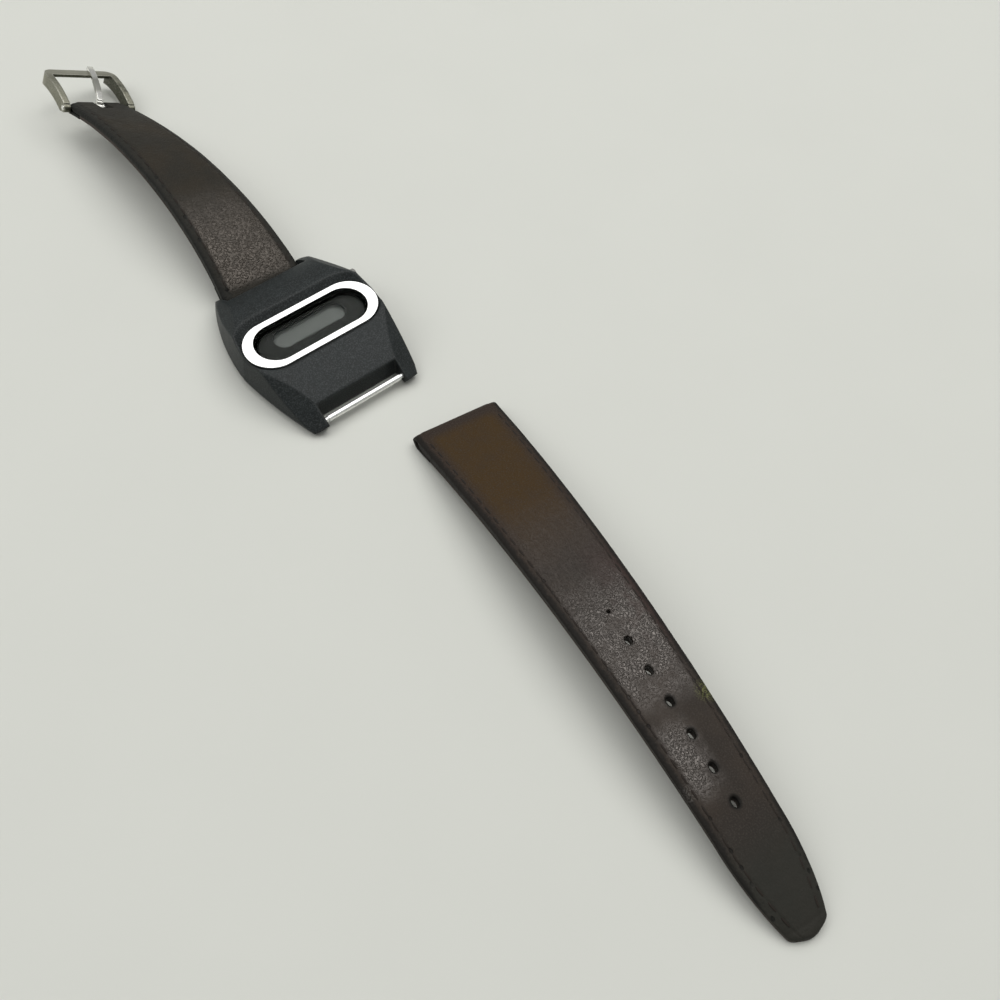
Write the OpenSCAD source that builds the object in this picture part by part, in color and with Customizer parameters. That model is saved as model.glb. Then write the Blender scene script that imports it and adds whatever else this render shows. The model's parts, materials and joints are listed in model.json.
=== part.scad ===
/* [Case] */
// Length of the case from lug tip to lug tip
case_length = 43.4; // [42.6:0.1:46]
// Width of the case across its widest line
case_width = 35.1; // [34.8:0.1:38]
// Width across the outer faces of the two lugs at 12 o'clock
upper_tip_width = 22.9; // [22.6:0.1:26]
// Width across the outer faces of the two lugs at 6 o'clock
lower_tip_width = 26.7; // [24.6:0.1:28]
// Radius of each side of the case in plan, from the middle to 12 o'clock
upper_flank_radius = 51; // [40:1:70]
// Radius of each side of the case in plan, from the middle to 6 o'clock
lower_flank_radius = 102; // [80:1:250]
// Radius of the slight bow across the lugs' ends in plan
lug_end_radius = 160; // [60:5:200]
// Slope of the lugs' end faces, which draw in towards the table, in degrees
lug_undercut = 31; // [10:1:33]
// Height of the widest line of the side walls
waist_height = 2.1; // [1.4:0.1:3.5]
// How far the side walls draw in below the widest line
wall_tuck = 0.7; // [0.3:0.1:1]
// How far the side walls draw in above the widest line
wall_draft = 1.35; // [0.8:0.05:1.5]
// Height of the case's underside over the table
underside_height = 0.9; // [0.9:0.05:1.2]
// Radius of the hollow along the underside, which brings the lug tips nearer the wrist
underside_radius = 400; // [300:10:900]
// Distance of the top's crest from the middle, towards 12 o'clock
crest_offset = 6; // [4:0.5:7]
// How far the crest stands over the polished ring
crest_rise = 1.05; // [0.8:0.05:1.4]
// Radius of the top's long slope to 6 o'clock
lower_slope_radius = 58; // [52:1:80]
// Radius of the top's short slope to 12 o'clock
upper_slope_radius = 22; // [21:0.5:30]
// Sideways fall of the two shoulders at 6 o'clock, in degrees
lower_shoulder_side = 29.5; // [24:0.5:33]
// Endways fall of the two shoulders at 6 o'clock, in degrees
lower_shoulder_end = 30.5; // [26:0.5:33]
// Sideways fall of the two shoulders at 12 o'clock, in degrees
upper_shoulder_side = 33.3; // [28:0.1:37]
// Endways fall of the two shoulders at 12 o'clock, in degrees
upper_shoulder_end = 24.8; // [20:0.1:29]
// Distance between the inner ends of the two shoulders at 12 o'clock
upper_shoulder_gap = 23.2; // [21.6:0.1:24.5]

/* [Lugs] */
// Clear width between a pair of lugs
lug_gap = 20.3; // [20.2:0.05:21]
// Distance of each strap bar from the lug tips
bar_to_tip = 2; // [1.8:0.05:2.4]
// Distance from each strap bar to the wall behind it
bar_to_wall = 2.6; // [2.4:0.05:2.8]
// Height of the strap bars over the table
bar_height = 2.3; // [2.1:0.05:2.6]
// Depth of the blind holes for the strap bars
lug_hole_depth = 1.4; // [1.2:0.05:1.5]

/* [Spring bars] */
// Radius of a strap bar's tube
bar_tube_radius = 0.75; // [0.65:0.01:0.85]
// Wall of a strap bar's tube
bar_tube_wall = 0.15; // [0.12:0.01:0.2]
// Length of a strap bar's tube
bar_tube_length = 18.6; // [17.5:0.1:19]
// Radius of the pins that enter the lugs
bar_pin_radius = 0.4; // [0.3:0.01:0.45]
// How far a pin reaches into its lug
bar_pin_reach = 1.15; // [1:0.05:1.2]
// How far a pin is pushed in to free the bar
bar_pin_travel = 1.3; // [1.25:0.05:1.5]
// Length of a pin's shank inside the tube
bar_shank_length = 4; // [3:0.1:5]

/* [Ring, crystal and display] */
// Length of the polished ring
ring_length = 32.4; // [31.5:0.1:32.8]
// Width of the polished ring
ring_width = 13; // [12.5:0.1:13.4]
// Length of the ring's opening
ring_opening_length = 27.5; // [27:0.1:28]
// Width of the ring's opening
ring_opening_width = 10.2; // [10:0.1:10.4]
// Thickness of the ring
ring_thickness = 1.15; // [1:0.05:1.2]
// How far the ring stands over the crystal
ring_over_crystal = 0.2; // [0.1:0.05:0.4]
// Distance of the ring from the middle of the case, towards 6 o'clock
dial_offset = 0.8; // [0.4:0.1:1.2]
// Height of the upright part of the ring's recess
recess_depth = 0.6; // [0.5:0.05:0.8]
// Slope of the recess's flared edge, in degrees over the level
recess_flare = 41; // [38:1:50]
// Thickness of the crystal
crystal_thickness = 1.1; // [0.9:0.05:1.4]
// Thickness of the seal below the crystal
crystal_seal_thickness = 0.25; // [0.2:0.05:0.35]
// Width of the seal below the crystal
crystal_seal_width = 0.75; // [0.7:0.05:0.9]
// Thickness of the black mask below the crystal
mask_thickness = 0.15; // [0.1:0.01:0.2]
// Length of the window in the mask
window_length = 17.6; // [16:0.1:18.5]
// Width of the window in the mask
window_width = 5.2; // [4.8:0.1:5.6]
// Distance of the window from the middle of the ring, towards 12 o'clock
window_offset = 0.8; // [0.4:0.1:1]
// Number of dark fingers along the window's lower edge
finger_count = 22; // [12:1:26]
// Width of one finger
finger_width = 0.26; // [0.2:0.01:0.3]
// Length of one finger
finger_length = 0.3; // [0.2:0.01:0.4]

/* [Module] */
// Radius of the bore that holds the module
module_bore_radius = 13.9; // [13.8:0.05:14]
// Thickness of the steel case back
back_thickness = 0.9; // [0.8:0.05:1]
// Radius of the case back
back_radius = 14.9; // [14.8:0.05:15.1]
// Height of the case back's snap rim
snap_rim_height = 1.2; // [1:0.05:1.4]
// Thickness of the case back's snap rim
snap_rim_wall = 0.35; // [0.3:0.05:0.4]
// Radius of the sealing ring's cross section
seal_section_radius = 0.32; // [0.3:0.01:0.34]
// Thickness of the insulating sheet over the cells
sheet_thickness = 0.1; // [0.08:0.01:0.15]
// Thickness of the spring strip that joins the cells
strip_thickness = 0.2; // [0.15:0.01:0.25]
// Radius of a button cell
cell_radius = 5.8; // [5.6:0.05:5.8]
// Height of a button cell
cell_height = 2.8; // [2.6:0.05:3.1]
// Distance of each cell from the middle, sideways
cell_spread = 6.15; // [6.1:0.05:6.3]
// Distance of the cells from the middle, towards 6 o'clock
cell_offset = 3.2; // [3:0.1:3.4]
// Thickness of the circuit board
board_thickness = 0.6; // [0.5:0.05:0.8]
// Height of the rubber connectors between board and display
connector_height = 1.2; // [1.1:0.05:1.5]
// Width of a rubber connector
connector_width = 0.8; // [0.7:0.05:0.9]
// Thickness of each glass of the display
glass_thickness = 0.65; // [0.5:0.05:0.7]
// Length of the display's front glass
glass_length = 23; // [22:0.1:23.4]
// Width of the display's front glass
glass_width = 8.4; // [8.2:0.1:8.6]
// Width of each ledge where a connector meets the front glass
glass_ledge = 1.1; // [1:0.05:1.2]
// Thickness of the polariser and of the reflector
film_thickness = 0.15; // [0.1:0.01:0.2]
// Thickness of the ledge that carries the crystal
crystal_ledge = 0.6; // [0.5:0.05:0.8]
// Radius of the quartz crystal's can
quartz_radius = 1; // [0.8:0.05:1.1]
// Length of the quartz crystal's can
quartz_length = 6; // [5:0.1:7]
// Radius of the trimmer's body
trimmer_radius = 1.6; // [1.4:0.05:1.8]
// Radius of the trimmer's rotor
rotor_radius = 1.5; // [1.2:0.05:1.55]
// Radius of the chip under its drop of resin
chip_radius = 2.6; // [2.2:0.1:2.8]

/* [Pusher] */
// Radius of the pusher's head
pusher_radius = 0.95; // [0.75:0.05:0.95]
// Radius of the pusher's stem
stem_radius = 0.4; // [0.3:0.01:0.45]
// Distance of the pusher from the middle, towards 12 o'clock
pusher_offset = 8.1; // [7.9:0.1:8.6]
// Height of the pusher over the table
pusher_height = 6.4; // [6.3:0.05:6.5]
// How far the pusher stands out of the case
pusher_stand = 1.7; // [1.4:0.1:2.8]
// Travel of the pusher
pusher_travel = 0.6; // [0.4:0.05:0.7]
// Length of the pusher's spring when pressed
spring_length = 2; // [1.5:0.05:2.2]

/* [Straps] */
// Width of both straps at the lugs
strap_width = 19.7; // [19:0.05:19.8]
// Radius of the loops that hold the strap bars
loop_radius = 1.9; // [1.7:0.05:1.95]
// Thickness of the lining leather
lining_thickness = 0.9; // [0.7:0.05:1.1]
// Length of lining that is folded back from the loop
fold_length = 5; // [3:0.1:8]
// How far the top leather is pared down at its edges
edge_paring = 0.9; // [0.5:0.05:1.2]
// Width of the pared edges
paring_width = 2.4; // [1.5:0.1:3]

/* [Buckle strap] */
// Thickness of the buckle strap at the buckle
buckle_end_thickness = 2.7; // [2.4:0.05:3]
// Width of the buckle strap at the buckle
buckle_end_width = 15; // [14:0.1:15.3]
// Radius of the loop that holds the buckle's bar
buckle_loop_radius = 1.45; // [1.4:0.05:1.6]
// Sideways place of the buckle's bar
buckle_x = -0.7; // [-2:0.1:2]
// Distance of the buckle's bar from the middle of the case
buckle_y = 93.2; // [88:0.1:102]
// Height of the middle of the buckle's bar
buckle_z = 5.5; // [5.4:0.1:8]
// Roll of the strap's end about its own length, in degrees
buckle_roll = 24; // [0:1:28]
// Turn of the strap's end seen from above, in degrees
buckle_turn = -3; // [-5:1:8]
// Slope of the strap where it meets the buckle, in degrees
strap_end_slope = -18.5; // [-24:0.5:-10]
// Slope of the strap where it leaves the case, in degrees
strap_start_slope = 28; // [16:1:34]
// Sideways turn of the strap where it leaves the case, in degrees
strap_start_turn = 7; // [0:1:9]
// Reach of the strap's curve from the case
start_reach = 14.2; // [12:0.1:20]
// Reach of the strap's curve from the buckle
end_reach = 37.4; // [30:0.1:42]

/* [Buckle] */
// Slope of the buckle's frame, in degrees
buckle_slope = 6; // [4:1:14]
// Clear width between the frame's arms
frame_gap = 15.3; // [15.2:0.1:17]
// Width of an arm seen from above
arm_width = 1.6; // [1.3:0.05:1.8]
// Distance from the bar to the frame's front edge
frame_reach = 13.8; // [12:0.1:15]
// Width of the frame's front bar
front_bar_width = 2.9; // [2:0.05:3.2]
// How far the arms run back past the bar
frame_back = 1.05; // [0.95:0.05:1.3]
// Height of the frame's section
frame_height = 3.2; // [2.8:0.05:3.4]
// Height of the front bar's section
front_bar_height = 0.8; // [0.6:0.05:1.8]
// How far the frame is bowed upwards in its middle
frame_bow = 1.1; // [0.9:0.05:1.3]
// Outer radius of the frame's two front corners
frame_corner = 2.6; // [2:0.1:3]
// Radius of the buckle's bar
buckle_bar_radius = 0.6; // [0.5:0.01:0.62]
// Width of the tongue's blade
tongue_width = 1.4; // [1.1:0.05:1.8]
// Width of the tongue's loop
tongue_loop_width = 2.4; // [2.2:0.05:3]
// Thickness of the tongue's blade
tongue_thickness = 0.9; // [0.7:0.05:1]
// Sideways lean of the tongue, in degrees
tongue_lean = 14; // [0:1:14]
// How far the tongue's tip reaches past the frame
tongue_overhang = 0.6; // [0.3:0.1:1.6]
// Length of the slot that the tongue swings in, from the bar into the strap
tongue_slot_length = 5; // [4.6:0.1:6]
// Gap on both sides of the tongue's loop in its slot, taken together
tongue_side_play = 0.8; // [0.6:0.05:1]

/* [Tail strap] */
// Length of the tail strap, measured straight from end to end
tail_length = 120.6; // [110:0.5:125]
// Width of the tail strap where its pointed end begins
tail_end_width = 13.7; // [13:0.1:15.5]
// Length of the pointed end
tail_point_length = 19.7; // [16:0.1:20.5]
// Radius of the two sides of the pointed end
tail_side_radius = 65; // [60:1:90]
// Radius of the blunt tip
tail_tip_radius = 8.5; // [7:0.1:10]
// Thickness of the tail strap at its tip
tail_tip_thickness = 1.9; // [1.7:0.05:2.2]
// Thickness of the tail strap in its middle
tail_mid_thickness = 2.5; // [2.2:0.05:3.2]
// Height of the arch under the tail strap's middle
tail_arch = 8.2; // [5:0.1:10]
// Number of holes for the tongue
hole_count = 7; // [5:1:9]
// Distance between two holes
hole_pitch = 6.6; // [6:0.1:6.8]
// Distance of the first hole from the strap's lug end
first_hole = 57.3; // [52:0.1:58]
// Radius of a hole
hole_radius = 1; // [0.8:0.05:1.1]
// Sideways place of the tail strap's lug end, where it lies beside the case
tail_x = 11.7; // [8:0.1:20]
// Distance of the tail strap's lug end from the middle of the case, towards 6 o'clock
tail_y = 35.8; // [34:0.1:50]
// Turn of the tail strap seen from above, in degrees
tail_turn = -8.5; // [-12:0.5:5]

/* [Clearances] */
// Gap between the flat pieces of the module's stack
stack_gap = 0.05; // [0.03:0.01:0.08]
// Gap beside pieces that drop into a seat
seat_gap = 0.1; // [0.06:0.01:0.15]
// Radial gap of a turning or sliding fit
running_gap = 0.05; // [0.03:0.01:0.08]
// Gap between two pieces pressed together
press_gap = 0.01; // [0.005:0.005:0.02]
// Gap beside the module and its frames
module_gap = 0.4; // [0.3:0.05:0.5]

/* [Hidden] */

$fn = 72;

// A length longer than the whole object, for cuts that run right through
far = 200;
// A short overlap that makes two solids of one piece merge
bite = 0.2;
// Narrow step that the shoulders leave beside the slot between the lugs
shoulder_step = 0.15;

// Centre of the circle of radius r that runs through a and b with its bulge on the right of a to b
function arc_centre(a, b, r) =
    let (m = (a + b) / 2, d = b - a, c = norm(d), h = sqrt(r * r - c * c / 4))
    m + h / c * [-d[1], d[0]];

// Centre of the circle through three points
function circle_centre(a, b, c) =
    let (
        d = 2 * (a[0] * (b[1] - c[1]) + b[0] * (c[1] - a[1]) + c[0] * (a[1] - b[1])),
        aa = a * a, bb = b * b, cc = c * c
    )
    [(aa * (b[1] - c[1]) + bb * (c[1] - a[1]) + cc * (a[1] - b[1])) / d,
     (aa * (c[0] - b[0]) + bb * (a[0] - c[0]) + cc * (b[0] - a[0])) / d];

// The two flank circles meet at the widest point of the case
tip_y = case_length / 2;
side_x = case_width / 2;
upper_flank = arc_centre([side_x, 0], [upper_tip_width / 2, tip_y], upper_flank_radius);
lower_flank = arc_centre([lower_tip_width / 2, -tip_y], [side_x, 0], lower_flank_radius);

// Heights of the module's stack, from the case back to the display
sheet_z = back_thickness + stack_gap;
strip_z = sheet_z + sheet_thickness + stack_gap;
cell_z = strip_z + strip_thickness + stack_gap;
board_z = cell_z + cell_height + stack_gap;
holder_z = board_z + board_thickness + stack_gap;
front_glass_z = board_z + board_thickness + connector_height;
polariser_z = front_glass_z + glass_thickness;
ceiling_z = polariser_z + film_thickness + stack_gap;
ledge_z = ceiling_z + crystal_ledge;
crystal_z = ledge_z + crystal_seal_thickness;
ring_top_z = crystal_z + crystal_thickness + ring_over_crystal;
ring_z = ring_top_z - ring_thickness;
crest_z = ring_top_z + crest_rise;
lower_ceiling_z = board_z + board_thickness + stack_gap;
// Hair gap beside seals and films, and the height of the groove for the back's seal
film_gap = 0.02;
seal_groove_height = 0.75;

// Places of the lugs, the bars and the display
bar_y = tip_y - bar_to_tip;
slot_y = bar_y - bar_to_wall;
dial_y = -dial_offset;
window_y = dial_y + window_offset;
holder_rim = 1.8;
holder_half = glass_width / 2 + holder_rim;
module_radius = module_bore_radius - module_gap;
aperture_length = ring_opening_length - 2 * crystal_seal_width - 1;
aperture_width = ring_opening_width - 2 * crystal_seal_width - 1;
pusher_wall_x = flank_x(pusher_offset) - wall_draft * (pusher_height - waist_height) / (crest_z + 1 - waist_height);
pusher_face_x = pusher_wall_x + pusher_stand;
spring_seat_x = pusher_wall_x - 3.4;
head_back_x = spring_seat_x + spring_length + pusher_travel + seat_gap;
bore_mouth_x = spring_seat_x - 1.9;
seal_section = 0.2;
seal_groove_x = spring_seat_x - 1.6;
seal_groove_width = 2 * seal_section + seat_gap;
clip_thickness = 0.25;
clip_rim = 0.4;
clip_x = bore_mouth_x - clip_thickness - running_gap;
stem_end_x = clip_x - 0.2;
contact_thickness = 0.2;
contact_width = 1.4;
contact_x = stem_end_x - pusher_travel - contact_thickness - seat_gap;

// Places inside the module
screw_x = 1.6;
screw_y = -10.6;
screw_radius = 0.5;
screw_head_rim = 0.45;
pocket_y = 7.9;
pocket_length = 18;
pocket_width = 6;
chip_x = -2.2;
trimmer_x = -6.6;
trimmer_height = 1;
shank_radius = bar_tube_radius - bar_tube_wall - running_gap;
shank_end = bar_tube_length / 2 - bar_shank_length;

// Half width of the case at a distance y towards 12 o'clock
function flank_x(y) = upper_flank[0] + sqrt(pow(upper_flank_radius, 2) - pow(y - upper_flank[1], 2));
// Height of the top along the middle of the case
function top_z(y) =
    let (r = y < crest_offset ? lower_slope_radius : upper_slope_radius)
    crest_z - r + sqrt(r * r - pow(y - crest_offset, 2));

module stadium(length, width) {
    union() {
        square([length - width, width], center = true);
        for (side = [-1, 1])
            translate([side * (length - width) / 2, 0])
                circle(d = width);
    }
}

module stadium_plate(length, width, z, height, y = dial_y) {
    translate([0, y, z])
        linear_extrude(height)
            stadium(length, width);
}

// One side wall: a disc of the flank's radius that draws in above and below its widest line
module flank_disc(centre, radius) {
    translate([centre[0], centre[1], 0])
        rotate_extrude($fn = 360)
            polygon([
                [0, -1], [radius - wall_tuck * (1 + 1 / waist_height), -1], [radius, waist_height],
                [radius - wall_draft, crest_z + 1], [0, crest_z + 1]
            ]);
}

// Side view of the top: a long slope to 6 o'clock and a short one to 12 o'clock
module slope_profile(radius, side) {
    intersection() {
        translate([crest_offset, crest_z - radius])
            circle(r = radius, $fn = 360);
        translate([side > 0 ? crest_offset : crest_offset - 2 * tip_y, 0])
            square([2 * tip_y, crest_z + 1]);
    }
}

module slope_block() {
    translate([-far / 2, 0, 0])
        rotate([90, 0, 90])
            linear_extrude(far)
                union() {
                    slope_profile(upper_slope_radius, 1);
                    slope_profile(lower_slope_radius, -1);
                }
}

// Height of the lugs' inner corners, which lie on the case's length
function tip_z(end) =
    end > 0 ? top_z(tip_y) : top_z(-slot_y) - (tip_y - slot_y) * tan(lower_shoulder_end);

// The bowed end faces of a pair of lugs, undercut from their inner corners down
module lug_end_disc(end) {
    bow = lug_end_radius - sqrt(pow(lug_end_radius, 2) - pow(lug_gap / 2, 2));
    draw_in = tan(lug_undercut);
    translate([0, end * (tip_y + bow - lug_end_radius), -1])
        cylinder(r1 = lug_end_radius - draw_in * (tip_z(end) + 1),
            r2 = lug_end_radius + draw_in * (crest_z + 1 - tip_z(end)), h = crest_z + 2, $fn = 720);
}

// A shoulder plane falls sideways and endways from a corner of the slot between the lugs
module shoulder_cut(x, end, side_fall, end_fall) {
    turn = atan(tan(end_fall) * cos(side_fall));
    for (side = [-1, 1])
        translate([side * (x + shoulder_step), end * slot_y, top_z(end * slot_y)])
            rotate([-end * turn, side * side_fall, 0])
                translate([-far / 2, -far / 2, 0])
                    cube([far, far, far / 4]);
}

module case_blank() {
    difference() {
        intersection() {
            slope_block();
            flank_disc(upper_flank, upper_flank_radius);
            flank_disc(lower_flank, lower_flank_radius);
            mirror([1, 0, 0])
                flank_disc(upper_flank, upper_flank_radius);
            mirror([1, 0, 0])
                flank_disc(lower_flank, lower_flank_radius);
            lug_end_disc(1);
            lug_end_disc(-1);
        }
        shoulder_cut(lug_gap / 2, -1, lower_shoulder_side, lower_shoulder_end);
        shoulder_cut(upper_shoulder_gap / 2, 1, upper_shoulder_side, upper_shoulder_end);
        translate([-far / 2, 0, underside_height - underside_radius])
            rotate([0, 90, 0])
                cylinder(r = underside_radius, h = far, $fn = 720);
    }
}

// The flared recess: its wall shows on the high side and dies out on the low side
module recess_flare_cut() {
    foot = ring_z + recess_depth;
    rise = crest_z + 1 - foot;
    spread = rise / tan(recess_flare);
    half = ring_width / 2 + seat_gap;
    reach = (ring_length - ring_width) / 2;
    translate([0, dial_y, foot]) {
        for (side = [-1, 1])
            translate([side * reach, 0, 0])
                cylinder(r1 = half, r2 = half + spread, h = rise);
        translate([-reach, 0, 0])
            rotate([90, 0, 90])
                linear_extrude(2 * reach)
                    polygon([[-half, 0], [half, 0], [half + spread, rise], [-half - spread, rise]]);
    }
}

module lug_cuts(end) {
    translate([-lug_gap / 2, end > 0 ? slot_y : -slot_y - tip_y, -1])
        cube([lug_gap, tip_y, crest_z + 2]);
    hole = lug_gap / 2 + lug_hole_depth;
    translate([-hole, end * bar_y, bar_height])
        rotate([0, 90, 0])
            cylinder(r = bar_pin_radius + running_gap, h = 2 * hole);
}

// The pusher's stepped bore, the groove of its seal and the pocket of its clip and contact
module pusher_cuts() {
    pocket_x = contact_x - 0.5;
    side_room = contact_width / 2 + 0.4;
    head_room = 1;
    bore_length = 8;
    translate([0, pusher_offset, pusher_height])
        rotate([0, 90, 0]) {
            translate([0, 0, bore_mouth_x - bite])
                cylinder(r = stem_radius + running_gap, h = bore_length);
            translate([0, 0, spring_seat_x])
                cylinder(r = pusher_radius + running_gap, h = bore_length);
            translate([0, 0, seal_groove_x])
                cylinder(r = stem_radius + 2 * seal_section + running_gap, h = seal_groove_width);
        }
    translate([pocket_x, pusher_offset - side_room, lower_ceiling_z - bite])
        cube([bore_mouth_x - pocket_x, 2 * side_room,
            pusher_height + head_room - lower_ceiling_z + bite]);
}

module module_cuts() {
    translate([0, 0, -1])
        cylinder(r = back_radius + seat_gap, h = back_thickness + 1);
    translate([0, 0, -1])
        cylinder(r = module_bore_radius + 2 * (seal_section_radius + film_gap),
            h = back_thickness + 1 + seal_groove_height);
    translate([0, 0, -1])
        cylinder(r = module_bore_radius, h = lower_ceiling_z + 1);
    intersection() {
        cylinder(r = module_bore_radius, h = ceiling_z);
        translate([-far / 2, window_y - holder_half - seat_gap, 0])
            cube([far, 2 * (holder_half + seat_gap), ceiling_z]);
    }
    stadium_plate(aperture_length, aperture_width, ceiling_z - bite, crystal_ledge + 2 * bite);
    stadium_plate(ring_opening_length, ring_opening_width, ledge_z, crest_z);
    stadium_plate(ring_length + 2 * seat_gap, ring_width + 2 * seat_gap, ring_z, crest_z);
}

// Moulded black case with its lugs, its recess for the ring and its bore for the module
module case_body() {
    color("#232724")
        difference() {
            case_blank();
            recess_flare_cut();
            module_cuts();
            pusher_cuts();
            for (end = [-1, 1])
                lug_cuts(end);
        }
}

// Polished ring that holds the crystal down
module bezel_ring() {
    color("#e8eae6")
        difference() {
            stadium_plate(ring_length, ring_width, ring_z, ring_thickness);
            stadium_plate(ring_opening_length, ring_opening_width, ring_z - 1, ring_thickness + 2);
        }
}

module crystal() {
    color("#8f9a96", 0.4)
        stadium_plate(ring_opening_length - 2 * seat_gap, ring_opening_width - 2 * seat_gap,
            crystal_z, crystal_thickness);
}

module crystal_seal() {
    length = ring_opening_length - 2 * seat_gap;
    width = ring_opening_width - 2 * seat_gap;
    color("#1b1b1b")
        difference() {
            stadium_plate(length, width, ledge_z, crystal_seal_thickness);
            stadium_plate(length - 2 * crystal_seal_width, width - 2 * crystal_seal_width,
                ledge_z - 1, crystal_seal_thickness + 2);
        }
}

// Black mask with the window, and the row of fingers along the window's lower edge
module display_mask() {
    length = ring_opening_length - 2 * crystal_seal_width - 4 * seat_gap;
    width = ring_opening_width - 2 * crystal_seal_width - 4 * seat_gap;
    pitch = (window_length - window_width) / finger_count;
    color("#20231f")
        translate([0, 0, crystal_z - mask_thickness - film_gap])
            linear_extrude(mask_thickness)
                union() {
                    difference() {
                        translate([0, dial_y])
                            stadium(length, width);
                        translate([0, window_y])
                            stadium(window_length, window_width);
                    }
                    for (i = [0 : finger_count - 1])
                        translate([(i + 0.5 - finger_count / 2) * pitch - finger_width / 2,
                                window_y - window_width / 2 - bite])
                            square([finger_width, finger_length + bite]);
                }
}

module glass_plate(length, width, z, height) {
    translate([-length / 2, window_y - width / 2, z])
        cube([length, width, height]);
}

module front_polariser() {
    color("#6f776e", 0.6)
        glass_plate(glass_length - 1, glass_width - 2 * glass_ledge, polariser_z, film_thickness);
}

module lcd_front_glass() {
    color("#9aa397", 0.5)
        glass_plate(glass_length, glass_width, front_glass_z, glass_thickness);
}

module lcd_rear_glass() {
    color("#9aa397", 0.5)
        glass_plate(glass_length, glass_width - 2 * glass_ledge - 2 * seat_gap,
            front_glass_z - glass_thickness, glass_thickness);
}

module lcd_reflector() {
    color("#aab0a4")
        glass_plate(glass_length - 1, glass_width - 2 * glass_ledge - 2 * seat_gap,
            front_glass_z - glass_thickness - film_thickness, film_thickness);
}

module display_connector(side) {
    y = window_y + side * (glass_width / 2 - glass_ledge / 2);
    color("#c98f86")
        translate([-glass_length / 2 + 1, y - connector_width / 2, board_z + board_thickness])
            cube([glass_length - 2, connector_width, connector_height]);
}

// Plastic frame that locates the display over the board
module lcd_holder() {
    height = front_glass_z + glass_thickness - holder_z;
    color("#d8d4c4")
        difference() {
            intersection() {
                translate([0, 0, holder_z])
                    cylinder(r = module_radius, h = height);
                translate([-far / 2, window_y - holder_half, holder_z])
                    cube([far, 2 * holder_half, height]);
            }
            glass_plate(glass_length + 2 * seat_gap, glass_width + 2 * seat_gap,
                holder_z - 1, height + 2);
        }
}

module circuit_board() {
    color("#31503c")
        difference() {
            translate([0, 0, board_z])
                cylinder(r = module_radius, h = board_thickness);
            for (x = [-1, 1])
                translate([x * screw_x, screw_y, board_z - 1])
                    cylinder(r = screw_radius + seat_gap, h = board_thickness + 2);
        }
}

// Chip under a drop of black resin, below the board
module watch_chip() {
    height = 1.1;
    drop_radius = (chip_radius * chip_radius + height * height) / (2 * height);
    color("#161616")
        translate([chip_x, pocket_y, board_z])
            mirror([0, 0, 1])
                rotate_extrude()
                    intersection() {
                        translate([0, height - drop_radius])
                            circle(r = drop_radius);
                        square([chip_radius + 1, height + 1]);
                    }
}

module quartz_can() {
    color("#b9bab6")
        translate([1.1, pocket_y - 1.4, board_z - quartz_radius - 0.1])
            rotate([0, 90, 0])
                cylinder(r = quartz_radius, h = quartz_length);
}

module trimmer_body() {
    color("#d9cba0")
        translate([trimmer_x, pocket_y, board_z - trimmer_height])
            cylinder(r = trimmer_radius, h = trimmer_height);
}

// Slotted rotor that a watchmaker turns to set the rate
module trimmer_rotor() {
    height = 0.8;
    slot_width = 0.4;
    slot_depth = 0.3;
    color("#b58c4a")
        translate([trimmer_x, pocket_y, board_z - trimmer_height - height - running_gap])
            difference() {
                cylinder(r = rotor_radius, h = height);
                translate([-rotor_radius, -slot_width / 2, -1])
                    cube([2 * rotor_radius, slot_width, slot_depth + 1]);
            }
}

module pusher_contact() {
    foot = board_z + board_thickness;
    top = pusher_height + stem_radius + seat_gap;
    color("#c9a13c")
        translate([contact_x, pusher_offset - contact_width / 2, foot])
            cube([contact_thickness, contact_width, top - foot]);
}

// Plastic base with the two wells for the cells and the pocket for the parts below the board
module module_base() {
    height = board_z - stack_gap - cell_z;
    color("#cfcab8")
        difference() {
            translate([0, 0, cell_z])
                cylinder(r = module_radius, h = height);
            for (side = [-1, 1])
                translate([side * cell_spread, -cell_offset, cell_z - 1])
                    cylinder(r = cell_radius + seat_gap, h = height + 2);
            stadium_plate(pocket_length, pocket_width, cell_z - 1, height + 2, pocket_y);
            for (x = [-1, 1])
                translate([x * screw_x, screw_y, cell_z - 1])
                    cylinder(r = screw_radius + press_gap, h = height + 2);
        }
}

module battery_cell(side) {
    rim = 0.3;
    rim_width = 0.9;
    color("#c4c6c3")
        translate([side * cell_spread, -cell_offset, cell_z])
            union() {
                cylinder(r = cell_radius, h = cell_height - rim);
                translate([0, 0, cell_height - rim - bite])
                    cylinder(r = cell_radius - rim_width, h = rim + bite);
            }
}

// Spring strip that joins the two cells below and is held by two screws
module cell_strip() {
    width = 5;
    tab_width = 6.4;
    tab_margin = 1.4;
    color("#d7c9a2")
        translate([0, 0, strip_z])
            difference() {
                linear_extrude(strip_thickness)
                    union() {
                        translate([0, -cell_offset])
                            stadium(2 * cell_spread + width, width);
                        translate([-tab_width / 2, screw_y - tab_margin])
                            square([tab_width, -cell_offset - screw_y]);
                    }
                for (x = [-1, 1])
                    translate([x * screw_x, screw_y, -1])
                        cylinder(r = screw_radius + press_gap, h = strip_thickness + 2);
            }
}

module strip_screws() {
    head = 0.12;
    color("#a9a9a4")
        for (x = [-1, 1])
            translate([x * screw_x, screw_y, 0]) {
                translate([0, 0, strip_z - head])
                    cylinder(r = screw_radius + screw_head_rim, h = head);
                translate([0, 0, strip_z - head])
                    cylinder(r = screw_radius, h = holder_z - strip_z - stack_gap + head);
            }
}

module insulating_sheet() {
    margin = 0.6;
    hole_radius = screw_radius + screw_head_rim + 0.15;
    color("#c8b24a", 0.7)
        difference() {
            translate([0, 0, sheet_z])
                cylinder(r = module_radius - margin, h = sheet_thickness);
            for (x = [-1, 1])
                translate([x * screw_x, screw_y, sheet_z - 1])
                    cylinder(r = hole_radius, h = 2);
        }
}

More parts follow.
